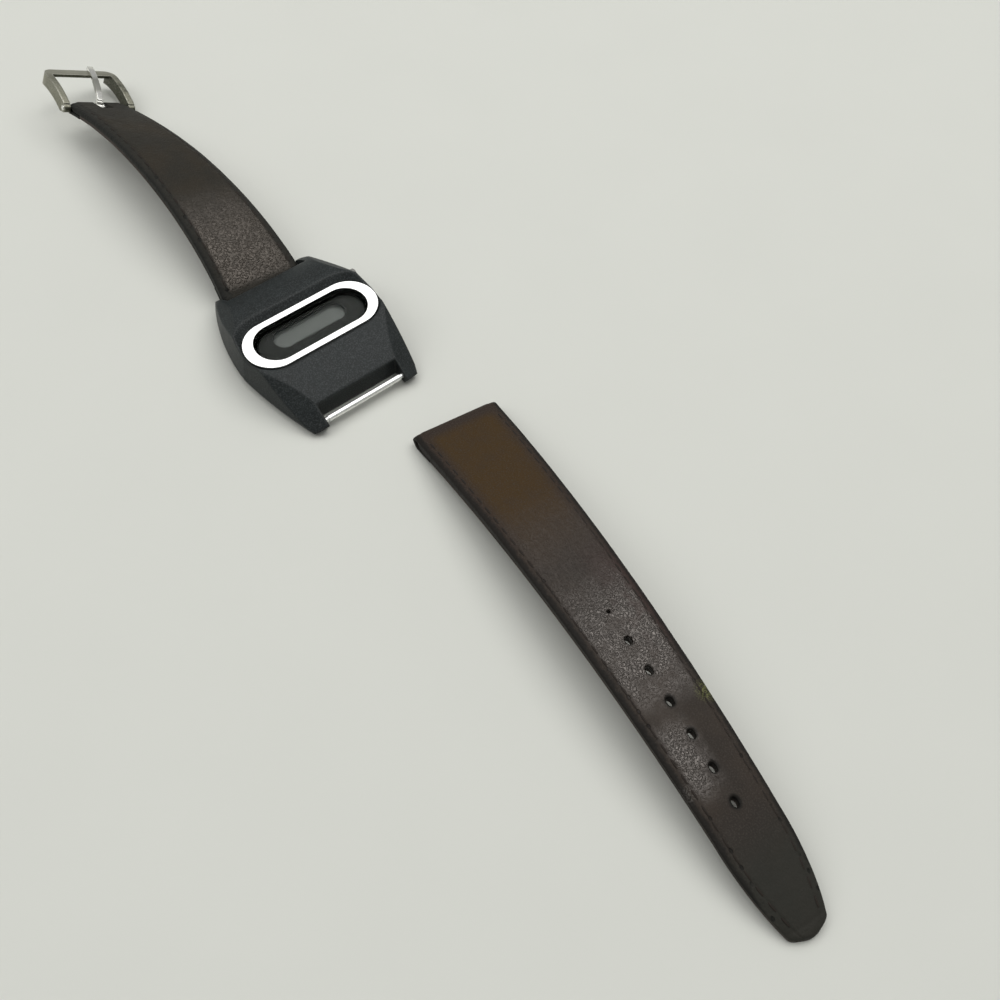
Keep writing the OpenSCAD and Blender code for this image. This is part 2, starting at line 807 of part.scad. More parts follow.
// Steel back that snaps into the case, with a notch at its edge to prise it off
module case_back() {
    rim_radius = module_bore_radius - press_gap;
    notch_width = 5;
    notch_depth = 0.6;
    notch_height = 0.5;
    color("#b4b5b0")
        difference() {
            union() {
                cylinder(r = back_radius, h = back_thickness);
                translate([0, 0, back_thickness - bite])
                    difference() {
                        cylinder(r = rim_radius, h = snap_rim_height + bite);
                        translate([0, 0, -1])
                            cylinder(r = rim_radius - snap_rim_wall, h = snap_rim_height + 2);
                    }
            }
            translate([-notch_width / 2, -back_radius - notch_depth, -1])
                cube([notch_width, 2 * notch_depth, notch_height + 1]);
        }
}

module case_back_seal() {
    middle = module_bore_radius + seal_section_radius + film_gap;
    color("#141414")
        translate([0, 0, back_thickness + seal_section_radius + film_gap])
            rotate_extrude()
                translate([middle, 0])
                    circle(r = seal_section_radius, $fn = 24);
}

module on_pusher_axis() {
    translate([0, pusher_offset, pusher_height])
        rotate([0, 90, 0])
            children();
}

module pusher() {
    crown = 0.25;
    color("#a8a9a4")
        on_pusher_axis()
            union() {
                translate([0, 0, head_back_x])
                    cylinder(r = pusher_radius, h = pusher_face_x - crown - head_back_x);
                translate([0, 0, pusher_face_x - crown])
                    cylinder(r1 = pusher_radius, r2 = pusher_radius - crown, h = crown);
                translate([0, 0, stem_end_x])
                    cylinder(r = stem_radius, h = head_back_x - stem_end_x + bite);
            }
}

module pusher_spring() {
    color("#8f9290")
        on_pusher_axis()
            translate([0, 0, spring_seat_x])
                difference() {
                    cylinder(r = pusher_radius - film_gap, h = spring_length);
                    translate([0, 0, -1])
                        cylinder(r = stem_radius + seat_gap, h = spring_length + 2);
                }
}

module pusher_seal() {
    color("#141414")
        on_pusher_axis()
            translate([0, 0, seal_groove_x + seal_groove_width / 2])
                rotate_extrude()
                    translate([stem_radius + seal_section + film_gap, 0])
                        circle(r = seal_section, $fn = 24);
}

module pusher_clip() {
    color("#8c8f8c")
        on_pusher_axis()
            translate([0, 0, clip_x])
                difference() {
                    cylinder(r = stem_radius + clip_rim, h = clip_thickness);
                    translate([0, 0, -1])
                        cylinder(r = stem_radius + press_gap, h = 2);
                }
}

// Spring bars: a tube with a sprung pin at each end
module bar_tube(end) {
    color("#e1e2de")
        translate([-bar_tube_length / 2, end * bar_y, bar_height])
            rotate([0, 90, 0])
                difference() {
                    cylinder(r = bar_tube_radius, h = bar_tube_length);
                    translate([0, 0, -1])
                        cylinder(r = bar_tube_radius - bar_tube_wall, h = bar_tube_length + 2);
                }
}

module bar_spring(end) {
    length = 2 * (shank_end - bar_pin_travel - seat_gap);
    wire = 0.2;
    color("#8f9290")
        translate([-length / 2, end * bar_y, bar_height])
            rotate([0, 90, 0])
                difference() {
                    cylinder(r = shank_radius, h = length);
                    translate([0, 0, -1])
                        cylinder(r = shank_radius - wire, h = length + 2);
                }
}

module bar_pin(end, side) {
    color("#c9cac5")
        translate([0, end * bar_y, bar_height])
            rotate([0, side * 90, 0])
                union() {
                    translate([0, 0, shank_end])
                        cylinder(r = shank_radius, h = lug_gap / 2 - running_gap - shank_end);
                    translate([0, 0, lug_gap / 2 - running_gap - bite])
                        cylinder(r = bar_pin_radius, h = bar_pin_reach + bite);
                }
}

// Rotations of a vector about the axes, in the order of rotate()
function turn_x(v, a) = [v[0], v[1] * cos(a) - v[2] * sin(a), v[1] * sin(a) + v[2] * cos(a)];
function turn_y(v, a) = [v[0] * cos(a) + v[2] * sin(a), v[1], v[2] * cos(a) - v[0] * sin(a)];
function turn_z(v, a) = [v[0] * cos(a) - v[1] * sin(a), v[0] * sin(a) + v[1] * cos(a), v[2]];
function turned(v, a) = turn_z(turn_y(turn_x(v, a[0]), a[1]), a[2]);
function unit(v) = v / norm(v);

// The buckle strap's middle line is a curve from the upper bar to the buckle's bar
strap_start = [0, bar_y, bar_height];
strap_end = [buckle_x, buckle_y, buckle_z];
start_direction = turned([0, 1, 0], [strap_start_slope, 0, -strap_start_turn]);
end_direction = turned([0, 1, 0], [strap_end_slope, buckle_roll, buckle_turn]);
end_axis = turned([1, 0, 0], [strap_end_slope, buckle_roll, buckle_turn]);
curve = [strap_start, strap_start + start_reach * start_direction,
         strap_end - end_reach * end_direction, strap_end];
strap_stations = 26;
fold_t = fold_length / (buckle_y - bar_y);
fold_step = 0.004;
// The loops stand out a little from the strap's faces and side edges
loop_stand = 0.05;
// Shares of the strap's length over which it narrows and thins
narrowing = 0.9;
thinning = 0.8;

function on_curve(t) =
    pow(1 - t, 3) * curve[0] + 3 * pow(1 - t, 2) * t * curve[1]
    + 3 * (1 - t) * t * t * curve[2] + pow(t, 3) * curve[3];
function along_curve(t) =
    unit(pow(1 - t, 2) * (curve[1] - curve[0]) + 2 * (1 - t) * t * (curve[2] - curve[1])
    + t * t * (curve[3] - curve[2]));
function across_curve(t) =
    let (w = (1 - t) * [1, 0, 0] + t * end_axis, d = along_curve(t))
    unit(w - (w * d) * d);
function strap_half_width(t) = strap_width / 2 + (buckle_end_width - strap_width) / 2 * min(t / narrowing, 1);
function strap_half_thickness(t) = loop_radius - loop_stand
    + (buckle_end_thickness / 2 - loop_radius + loop_stand) * min(t / thinning, 1);

// Points of a layer's cross section at t, in pairs of sideways place and height
function top_section(t) =
    let (
        w = strap_half_width(t), h = strap_half_thickness(t),
        folded = t < fold_t + fold_step / 2 || t > 1 - fold_t - fold_step / 2,
        m = folded ? -h : lining_thickness - h
    )
    [[-w, m], [w, m], [w, h - edge_paring], [w - paring_width, h], [paring_width - w, h], [-w, h - edge_paring]];
function lining_section(t) =
    let (w = strap_half_width(t), h = strap_half_thickness(t), m = lining_thickness - h)
    [[-w, -h], [w, -h], [w, m], [-w, m]];
function placed(section, t) =
    let (c = on_curve(t), w = across_curve(t), n = cross(w, along_curve(t)))
    [for (p = section) c + p[0] * w + p[1] * n];

module swept(rings) {
    sides = len(rings[0]);
    last = len(rings) - 1;
    points = [for (ring = rings) each ring];
    // The upper sides turn their diagonals, so that two layers share the facets of their seam
    walls = [for (i = [0 : last - 1], j = [0 : sides - 1])
        let (k = (j + 1) % sides, a = i * sides + j, b = a + sides, c = i * sides + k, d = c + sides)
        each j < sides / 2 ? [[a, d, b], [a, c, d]] : [[a, c, b], [c, d, b]]];
    first_cap = [for (j = [1 : sides - 2]) [0, j + 1, j]];
    last_cap = [for (j = [1 : sides - 2]) [last * sides, last * sides + j, last * sides + j + 1]];
    polyhedron(points = points, faces = concat(walls, first_cap, last_cap));
}

function stations(from, to, count) = [for (i = [0 : count]) from + (to - from) * i / count];
lining_stations = stations(fold_t + fold_step, 1 - fold_t - fold_step, strap_stations);

module on_buckle_axis(slope) {
    translate(strap_end)
        rotate([slope, buckle_roll, buckle_turn])
            children();
}

// Top leather: it runs round the upper bar, along the top and round the buckle's bar
module buckle_strap_top() {
    slot_width = tongue_loop_width + tongue_side_play;
    slot_depth = 4 * buckle_loop_radius;
    color("#3a302a")
        difference() {
            union() {
                swept([
                    for (t = concat(stations(0, fold_t, 2), lining_stations, stations(1 - fold_t, 1, 2)))
                        placed(top_section(t), t)
                ]);
                translate([-loop_stand - strap_width / 2, bar_y, bar_height])
                    rotate([0, 90, 0])
                        cylinder(r = loop_radius, h = strap_width + 2 * loop_stand);
                on_buckle_axis(strap_end_slope)
                    translate([-loop_stand - buckle_end_width / 2, 0, 0])
                        rotate([0, 90, 0])
                            cylinder(r = buckle_loop_radius, h = buckle_end_width + 2 * loop_stand);
            }
            translate([-strap_width, bar_y, bar_height])
                rotate([0, 90, 0])
                    cylinder(r = bar_tube_radius + running_gap, h = 2 * strap_width);
            on_buckle_axis(strap_end_slope) {
                translate([-buckle_end_width, 0, 0])
                    rotate([0, 90, 0])
                        cylinder(r = buckle_bar_radius + running_gap, h = 2 * buckle_end_width);
                translate([-slot_width / 2, -tongue_slot_length, -slot_depth / 2])
                    cube([slot_width, 2 * tongue_slot_length, slot_depth]);
            }
        }
}

module buckle_strap_lining() {
    color("#6b5442")
        swept([for (t = lining_stations) placed(lining_section(t), t)]);
}

// Side view of the buckle: two arcs through the back, the middle and the front
frame_mid_y = (frame_reach - frame_back) / 2;
frame_top = circle_centre([-frame_back, frame_back], [frame_mid_y, frame_back + frame_bow],
    [frame_reach, frame_back]);
frame_top_radius = norm(frame_top - [frame_reach, frame_back]);

module frame_plan() {
    outer = frame_gap / 2 + arm_width;
    inner = frame_gap / 2;
    front = frame_reach - front_bar_width;
    difference() {
        union() {
            translate([-outer, -frame_back])
                square([2 * outer, frame_back + frame_reach - frame_corner]);
            translate([-outer + frame_corner, 0])
                square([2 * (outer - frame_corner), frame_reach]);
            for (side = [-1, 1])
                translate([side * (outer - frame_corner), frame_reach - frame_corner])
                    circle(r = frame_corner);
        }
        translate([-inner, -frame_back - 1])
            square([2 * inner, frame_back + 1 + front]);
    }
}

// A bowed band, seen from the side, that follows the top of the frame
module bowed_band(outer_radius, thickness, from, to) {
    intersection() {
        difference() {
            translate(frame_top)
                circle(r = outer_radius, $fn = 180);
            translate(frame_top)
                circle(r = outer_radius - thickness, $fn = 180);
        }
        translate([from, -frame_height])
            square([to - from, 3 * frame_height]);
    }
}

module side_extrude(width) {
    translate([-width / 2, 0, 0])
        rotate([90, 0, 90])
            linear_extrude(width)
                children();
}

// Side view of the frame: its arms are deep at the front and round off about the bar
module frame_side() {
    deepening = 0.3;
    full_depth_y = frame_reach * deepening;
    intersection() {
        bowed_band(frame_top_radius, frame_height, -frame_back - 1, frame_reach + 1);
        union() {
            circle(r = frame_back);
            polygon([[0, -frame_back], [full_depth_y, -frame_height], [frame_reach + 1, -frame_height],
                     [frame_reach + 1, 3 * frame_height], [0, 3 * frame_height]]);
        }
    }
}

// Bent steel frame: two deep arms and a shallow front bar
module buckle_frame() {
    front = frame_reach - front_bar_width;
    color("#b9b7ab")
        on_buckle_axis(buckle_slope)
            difference() {
                intersection() {
                    translate([0, 0, -frame_height])
                        linear_extrude(3 * frame_height)
                            frame_plan();
                    side_extrude(far / 4)
                        frame_side();
                }
                side_extrude(frame_gap)
                    bowed_band(frame_top_radius - front_bar_height, frame_height, front - 1, frame_reach + 1);
                translate([-frame_gap, 0, 0])
                    rotate([0, 90, 0])
                        cylinder(r = buckle_bar_radius + press_gap, h = 2 * frame_gap);
            }
}

module buckle_bar() {
    end_stand = 0.15;
    length = frame_gap + 2 * (arm_width + end_stand);
    color("#d4d3cb")
        on_buckle_axis(buckle_slope)
            translate([-length / 2, 0, 0])
                rotate([0, 90, 0])
                    cylinder(r = buckle_bar_radius, h = length);
}

// Tongue: a loop on the bar, a neck and a bowed blade that lies on the front bar
module buckle_tongue() {
    bore = buckle_bar_radius + running_gap;
    loop_wall = 0.55;
    neck_foot = 0.3;
    neck_length = 1.4;
    neck_top = frame_back + frame_bow - bite;
    color("#d0cec4")
        on_buckle_axis(buckle_slope)
            difference() {
                union() {
                    intersection() {
                        side_extrude(2 * frame_gap)
                            bowed_band(frame_top_radius + running_gap + tongue_thickness, tongue_thickness,
                                -frame_back, frame_reach + tongue_overhang);
                        rotate([0, 0, -tongue_lean])
                            translate([-tongue_width / 2, bite, -1])
                                cube([tongue_width, 2 * frame_reach, 4 * frame_height]);
                    }
                    rotate([0, 0, -tongue_lean])
                        translate([-tongue_width / 2, -bite, neck_foot])
                            cube([tongue_width, neck_length + bite, neck_top - neck_foot]);
                    translate([-tongue_loop_width / 2, 0, 0])
                        rotate([0, 90, 0])
                            cylinder(r = bore + loop_wall, h = tongue_loop_width);
                }
                translate([-tongue_loop_width, 0, 0])
                    rotate([0, 90, 0])
                        cylinder(r = bore, h = 2 * tongue_loop_width);
            }
}

// The tail strap is drawn along +X from its lug end, then turned to where it lies
module tail_place() {
    translate([tail_x, -tail_y, 0])
        rotate([0, 0, tail_turn - 90])
            children();
}

loop_u = loop_radius;
mid_u = (loop_u + tail_length) / 2;
under_z = 2 * loop_stand;
under_arc = [[loop_u, under_z], [mid_u, tail_arch], [tail_length, 0]];
seam_arc = [[loop_u, under_z + lining_thickness], [mid_u, tail_arch + lining_thickness],
            [tail_length, tail_tip_thickness / 2]];
over_arc = [[loop_u, 2 * loop_radius - loop_stand], [mid_u, tail_arch + tail_mid_thickness],
            [tail_length, tail_tip_thickness]];

module arc_disc(arc) {
    centre = circle_centre(arc[0], arc[1], arc[2]);
    translate(centre)
        circle(r = norm(centre - arc[0]), $fn = 720);
}

module tail_layer(lower, upper, from, to = tail_length) {
    rotate([90, 0, 0])
        translate([0, 0, -strap_width])
            linear_extrude(2 * strap_width)
                intersection() {
                    difference() {
                        arc_disc(upper);
                        arc_disc(lower);
                    }
                    translate([from, -1])
                        square([to - from, 4 * tail_arch]);
                }
}

// Plan of the tail strap: straight taper, then two curved sides and a blunt tip
module tail_plan() {
    point_u = tail_length - tail_point_length;
    tip_u = tail_length - tail_tip_radius;
    half = tail_end_width / 2;
    union() {
        polygon([[0, strap_width / 2], [0, -strap_width / 2], [point_u, -half], [point_u, half]]);
        intersection() {
            union() {
                translate([point_u - bite, -half])
                    square([tip_u - point_u + bite, 2 * half]);
                translate([tip_u, 0])
                    circle(r = tail_tip_radius);
            }
            translate([point_u - bite, tail_side_radius - half])
                circle(r = tail_side_radius, $fn = 360);
            translate([point_u - bite, half - tail_side_radius])
                circle(r = tail_side_radius, $fn = 360);
        }
    }
}

module tail_outline() {
    translate([0, 0, -1])
        linear_extrude(4 * tail_arch)
            tail_plan();
}

// Holes for the tongue, square to the strap's arched surface
module tail_holes() {
    centre = circle_centre(seam_arc[0], seam_arc[1], seam_arc[2]);
    radius = norm(centre - seam_arc[0]);
    for (i = [0 : hole_count - 1]) {
        u = first_hole + i * hole_pitch;
        lean = asin((u - centre[0]) / radius);
        translate([u, 0, centre[1] + sqrt(pow(radius, 2) - pow(u - centre[0], 2))])
            rotate([0, lean, 0])
                translate([0, 0, -tail_mid_thickness])
                    cylinder(r = hole_radius, h = 2 * tail_mid_thickness);
    }
}

// Top leather: it runs round the loop for the bar and along the top
module tail_strap_top() {
    color("#5a4636")
        tail_place()
            difference() {
                union() {
                    intersection() {
                        union() {
                            tail_layer(seam_arc, over_arc, loop_u);
                            tail_layer(under_arc, seam_arc, loop_u, loop_u + fold_length);
                        }
                        tail_outline();
                    }
                    translate([loop_u, -strap_width / 2, loop_radius])
                        rotate([-90, 0, 0])
                            cylinder(r = loop_radius, h = strap_width);
                }
                translate([loop_u, -strap_width, loop_radius])
                    rotate([-90, 0, 0])
                        cylinder(r = bar_tube_radius + running_gap, h = 2 * strap_width);
                tail_holes();
            }
}

module tail_strap_lining() {
    color("#75604c")
        tail_place()
            difference() {
                intersection() {
                    tail_layer(under_arc, seam_arc, loop_u + fold_length);
                    tail_outline();
                }
                tail_holes();
            }
}

case_body();
bezel_ring();
crystal();
crystal_seal();
display_mask();
front_polariser();
lcd_front_glass();
lcd_rear_glass();
lcd_reflector();
display_connector(1);  // connector_upper
display_connector(-1);  // connector_lower
lcd_holder();
circuit_board();
watch_chip();
quartz_can();
trimmer_body();
trimmer_rotor();
pusher_contact();
module_base();
battery_cell(-1);  // battery_cell_left
battery_cell(1);  // battery_cell_right
cell_strip();
strip_screws();
insulating_sheet();
case_back();
case_back_seal();
pusher();
pusher_spring();
pusher_seal();
pusher_clip();
bar_tube(1);  // upper_bar_tube
bar_spring(1);  // upper_bar_spring
bar_pin(1, -1);  // upper_bar_pin_left
bar_pin(1, 1);  // upper_bar_pin_right
bar_tube(-1);  // lower_bar_tube
bar_spring(-1);  // lower_bar_spring
bar_pin(-1, -1);  // lower_bar_pin_left
bar_pin(-1, 1);  // lower_bar_pin_right
buckle_strap_top();
buckle_strap_lining();
buckle_frame();
buckle_bar();
buckle_tongue();
tail_strap_top();
tail_strap_lining();
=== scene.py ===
import bmesh
import bpy
import json
import math
from mathutils import Matrix, Vector, noise

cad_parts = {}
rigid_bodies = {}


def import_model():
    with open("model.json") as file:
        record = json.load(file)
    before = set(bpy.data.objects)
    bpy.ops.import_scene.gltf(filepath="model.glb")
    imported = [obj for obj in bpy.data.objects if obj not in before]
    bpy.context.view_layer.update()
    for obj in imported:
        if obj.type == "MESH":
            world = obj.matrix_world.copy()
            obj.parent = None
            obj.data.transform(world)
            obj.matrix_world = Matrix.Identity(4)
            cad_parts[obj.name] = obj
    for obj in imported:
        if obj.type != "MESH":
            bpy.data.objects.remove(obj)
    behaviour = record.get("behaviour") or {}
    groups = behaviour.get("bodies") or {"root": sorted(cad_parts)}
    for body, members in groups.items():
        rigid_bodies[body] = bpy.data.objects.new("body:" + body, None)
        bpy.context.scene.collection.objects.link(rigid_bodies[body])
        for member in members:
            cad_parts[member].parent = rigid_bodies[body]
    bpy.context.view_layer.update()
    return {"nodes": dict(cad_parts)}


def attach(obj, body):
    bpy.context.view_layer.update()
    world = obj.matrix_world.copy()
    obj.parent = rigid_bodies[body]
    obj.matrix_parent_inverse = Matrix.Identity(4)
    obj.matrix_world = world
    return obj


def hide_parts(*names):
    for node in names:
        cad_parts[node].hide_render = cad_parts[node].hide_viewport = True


for leftover in list(bpy.data.objects):
    bpy.data.objects.remove(leftover)
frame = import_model()
node = frame["nodes"]
MM = 0.001


# The case is one moulding in black filled nylon, with its four lugs and the pocket for the ring.
# The tool was lightly blasted, so the flats are matt, and the arrises have gone smooth and grey with wear.
class Value:
    """What one socket of a finish gives out. Sums, products and powers of such values add Math nodes."""

    def __init__(self, finish, socket):
        self.finish = finish
        self.socket = socket

    def math(self, operation, other=0.0):
        return self.finish.add("ShaderNodeMath", {"operation": operation}, {0: self, 1: other})

    def __add__(self, other):
        return self.math("ADD", other)

    def __sub__(self, other):
        return self.math("SUBTRACT", other)

    def __rsub__(self, other):
        return self.finish.add("ShaderNodeMath", {"operation": "SUBTRACT"}, {0: other, 1: self})

    def __mul__(self, other):
        return self.math("MULTIPLY", other)

    def __truediv__(self, other):
        return self.math("DIVIDE", other)

    def __pow__(self, other):
        return self.math("POWER", other)

    __radd__ = __add__
    __rmul__ = __mul__

    def between(self, low, high):
        """0 below low, 1 above high, and a smooth step between; high below low turns it round."""
        below, above = (0.0, 1.0) if low < high else (1.0, 0.0)
        return self.finish.add(
            "ShaderNodeMapRange",
            {"interpolation_type": "SMOOTHSTEP", "clamp": True},
            {0: self, 1: min(low, high), 2: max(low, high), 3: below, 4: above},
        )


class Finish:
    """The finish of a piece: a shader, its place on the piece, and a method that adds any other node."""

    def __init__(self, name, chart=None, **sockets):
        self.material = bpy.data.materials.new(name)
        self.material.use_nodes = True
        self.tree = self.material.node_tree
        self.shader = self.tree.nodes["Principled BSDF"]
        if chart:
            self.place = self.add("ShaderNodeUVMap", {"uv_map": chart})
        else:
            self.place = self.add("ShaderNodeTexCoord", out=3)
        self.set(**sockets)

    def feed(self, unit, socket, value):
        target = unit.inputs[socket]
        if isinstance(value, Value):
            self.tree.links.new(value.socket, target)
        elif target.type == "RGBA" and len(value) == 3:
            target.default_value = (*value, 1.0)
        else:
            target.default_value = value

    def add(self, kind, settings=None, sockets=None, out=0):
        """Adds a node of a kind, sets it, feeds its sockets and gives one of its outputs."""
        unit = self.tree.nodes.new(kind)
        for name, setting in (settings or {}).items():
            setattr(unit, name, setting)
        for socket, value in (sockets or {}).items():
            self.feed(unit, socket, value)
        return Value(self, unit.outputs[out])

    def set(self, **sockets):
        for socket, value in sockets.items():
            self.feed(self.shader, socket.replace("_", " "), value)

    def measure(self, axis):
        """How far along one axis the place lies, 0 X, 1 Y, 2 Z."""
        return self.add("ShaderNodeSeparateXYZ", {}, {0: self.place}, out=axis)

    def from_spot(self, spot):
        """The distance of the place from one spot."""
        return self.add("ShaderNodeVectorMath", {"operation": "DISTANCE"}, {0: self.place, 1: spot}, out=1)

    def outward(self, axis):
        """How far the surface faces along one of the piece's own axes, from -1 to 1."""
        facing = self.add("ShaderNodeTexCoord", out=1)
        return self.add("ShaderNodeSeparateXYZ", {}, {0: facing}, out=axis)

    def stretched(self, factors, place=None):
        return self.add("ShaderNodeMapping", {}, {0: place or self.place, 3: factors})

    def grain(self, size, detail=3.0, rough=0.5, place=None):
        """Cloudy noise from 0 to 1 whose lumps are about size across, in metres or in the chart's units."""
        sockets = {0: place or self.place, 2: 1 / size, 3: detail, 4: rough}
        return self.add("ShaderNodeTexNoise", {}, sockets)

    def mixed(self, share, first, second):
        return self.add("ShaderNodeMix", {"data_type": "RGBA"}, {0: share, 6: first, 7: second}, out=2)

    def relief(self, height, depth, strength=1.0, normal=None):
        sockets = {"Strength": strength, "Distance": depth, "Height": height}
        if normal:
            sockets["Normal"] = normal
        return self.add("ShaderNodeBump", {}, sockets)

    def covered(self, share, skin):
        """Lays another shader over the first one where share is 1."""
        first = Value(self, self.shader.outputs[0])
        both = self.add("ShaderNodeMixShader", {}, {0: share, 1: first, 2: skin})
        self.feed(self.tree.nodes["Material Output"], "Surface", both)

    def eased(self, radius):
        """The surface's direction, with its arrises rounded to radius."""
        return self.add("ShaderNodeBevel", {"samples": 6}, {"Radius": radius})

    def worn(self, eased):
        """How worn each place is, 0 on the flats and 1 on the arrises."""
        flat = self.add("ShaderNodeNewGeometry", out=1)
        alike = self.add("ShaderNodeVectorMath", {"operation": "DOT_PRODUCT"}, {0: eased, 1: flat}, out=1)
        return (1 - alike).between(0.0, 0.12)


def dress(finish, *names):
    for name in names:
        for slot in node[name].material_slots:
            slot.material = finish.material


case_finish = Finish("moulded_black_nylon", IOR=1.42, Specular_IOR_Level=0.36)
eased = case_finish.eased(0.8 * MM)
worn = case_finish.worn(eased)
blast = case_finish.grain(0.3 * MM, detail=3.0, rough=0.65)
cloud = case_finish.grain(3.2 * MM, detail=4.0)
dust = case_finish.grain(0.5 * MM, detail=5.0, rough=0.7).between(0.62, 0.78)
nylon = case_finish.mixed(cloud.between(0.3, 0.7), (0.0020, 0.0040, 0.0040), (0.0055, 0.0085, 0.0085))
nylon = case_finish.mixed(blast.between(0.44, 0.66) * 0.8, nylon, (0.037, 0.0425, 0.043))
nylon = case_finish.mixed(worn * 0.3, nylon, (0.05, 0.054, 0.052))
nylon = case_finish.mixed(dust * 0.1, nylon, (0.10, 0.10, 0.09))
case_finish.set(
    Base_Color=nylon,
    Roughness=0.43 + 0.12 * cloud - 0.1 * worn,
    Normal=case_finish.relief(blast + 0.4 * cloud, 0.018 * MM, 0.7, eased),
)
dress(case_finish, "case_body")


# The ring round the crystal is turned brass under bright chrome, pressed into its pocket in the case.
# It carries hairlines from wiping, and one small dent on the side towards 6 o'clock.
chrome = Finish("bright_chrome_ring", Metallic=1.0)
eased = chrome.eased(0.16 * MM)
hairlines = chrome.grain(0.5 * MM, detail=4.0, place=chrome.stretched((0.25, 6.0, 1.0)))
haze = chrome.grain(4.0 * MM, detail=2.0)
dent = chrome.from_spot((5.7 * MM, -6.8 * MM, 9.0 * MM)).between(1.1 * MM, 0.4 * MM)
chrome.set(
    Base_Color=chrome.mixed(haze, (0.93, 0.93, 0.915), (0.88, 0.88, 0.87)),
    Roughness=0.07 + 0.08 * hairlines * haze + 0.1 * dent,
    Normal=chrome.relief(0.02 * hairlines - dent, 0.05 * MM, 0.5, eased),
)
dress(chrome, "bezel_ring")


# The crystal is a flat mineral glass with a ground edge, dropped into the ring's opening.
# Under it lies its square-cut rubber seal, as dark as the mask, which blackens the glass that rests on it.
# The seals of the back and of the pusher are black rubber rings.
seal_straight = 8.65 * MM
seal_centre = -0.95 * MM
seal_inside = 4.3 * MM
seal_blur = 0.05 * MM

glass = Finish(
    "mineral_glass", Transmission_Weight=1.0, IOR=1.3, Alpha=0.12, Base_Color=(0.93, 0.95, 0.94)
)
smear = glass.grain(2.6 * MM, detail=3.0)
glass.set(Roughness=0.015 + 0.03 * smear.between(0.45, 0.8))
ground_edge = glass.outward(2).math("ABSOLUTE").between(0.75, 0.5)
past_straight = (glass.measure(0).math("ABSOLUTE") - seal_straight).math("MAXIMUM", 0.0)
off_centre = glass.measure(1) - seal_centre
from_middle = (past_straight * past_straight + off_centre * off_centre).math("SQRT")
on_seal = from_middle.between(seal_inside, seal_inside + seal_blur) * glass.outward(2).between(-0.5, -0.9)
blackened = glass.add("ShaderNodeBsdfDiffuse", {}, {"Color": (0.014, 0.016, 0.014)})
glass.covered(ground_edge.math("MAXIMUM", on_seal), blackened)
dress(glass, "crystal")

rubber = Finish("black_rubber_seal", Base_Color=(0.012, 0.012, 0.012))
bloom = rubber.grain(0.6 * MM, detail=4.0)
rubber.set(Roughness=0.55 + 0.3 * bloom, Normal=rubber.relief(bloom, 0.02 * MM, 0.4))
dress(rubber, "case_back_seal", "pusher_seal")

flat_rubber = Finish("flat_rubber_seal", Specular_IOR_Level=0.1)
talc = flat_rubber.grain(0.4 * MM, detail=3.0)
flat_rubber.set(
    Base_Color=flat_rubber.mixed(talc, (0.012, 0.014, 0.012), (0.018, 0.02, 0.017)),
    Roughness=0.8,
)
dress(flat_rubber, "crystal_seal")


# The mask is black print on a thin carrier, with the window of the display and its row of fine fingers.
# A little dust has settled on it.
print_finish = Finish("black_mask_print", IOR=1.45, Specular_IOR_Level=0.1)
speck = print_finish.grain(0.25 * MM, detail=3.0).between(0.68, 0.8)
wash = print_finish.grain(2.0 * MM, detail=3.0)
ink = print_finish.mixed(wash, (0.012, 0.014, 0.012), (0.017, 0.019, 0.016))
print_finish.set(
    Base_Color=print_finish.mixed(speck * 0.3, ink, (0.12, 0.125, 0.11)),
    Roughness=0.5 + 0.2 * wash,
)
dress(print_finish, "display_mask")


# The display is two plates of glass on a grey-green reflector, with a polarising film on the front.
# The cells are flat, so it shows nothing but the film's faint stretch marks.
film = Finish("polarising_film", Coat_Weight=0.25, Coat_Roughness=0.15)
stretch = film.grain(1.2 * MM, detail=4.0, place=film.stretched((0.12, 1.6, 1.0)))
shade = film.grain(6.0 * MM, detail=2.0)
film.set(
    Base_Color=film.mixed(0.5 * stretch + 0.5 * shade, (0.048, 0.057, 0.049), (0.074, 0.084, 0.073)),
    Roughness=0.36 + 0.12 * stretch,
    Normal=film.relief(stretch, 0.01 * MM, 0.2),
)
dress(film, "front_polariser")

cell_glass = Finish("display_glass", Transmission_Weight=0.85, IOR=1.5, Base_Color=(0.82, 0.88, 0.84))
lead_tracks = cell_glass.grain(1.4 * MM, detail=2.0, place=cell_glass.stretched((3.0, 0.2, 1.0)))
cell_glass.set(Roughness=0.04 + 0.08 * lead_tracks)
dress(cell_glass, "lcd_front_glass", "lcd_rear_glass")

foil = Finish("grey_green_reflector", Metallic=0.6)
weave = foil.grain(0.3 * MM, detail=3.0)
foil.set(Base_Color=foil.mixed(weave, (0.2, 0.23, 0.19), (0.29, 0.32, 0.27)), Roughness=0.4 + 0.2 * weave)
dress(foil, "lcd_reflector")


# Two striped rubber connectors join the display to the board, held in a moulded grey frame.
# The module's base and the trimmer's body are shot in the same grey plastic.
stripes_per_metre = 1600.0
stripes = Finish("striped_rubber_connector")
bands = stripes.add("ShaderNodeTexWave", {"bands_direction": "X"}, {0: stripes.place, 1: stripes_per_metre})
stripes.set(
    Base_Color=stripes.mixed(bands.between(0.4, 0.6), (0.012, 0.012, 0.012), (0.62, 0.6, 0.55)),
    Roughness=0.6 + 0.1 * bands,
)
dress(stripes, "connector_upper", "connector_lower")

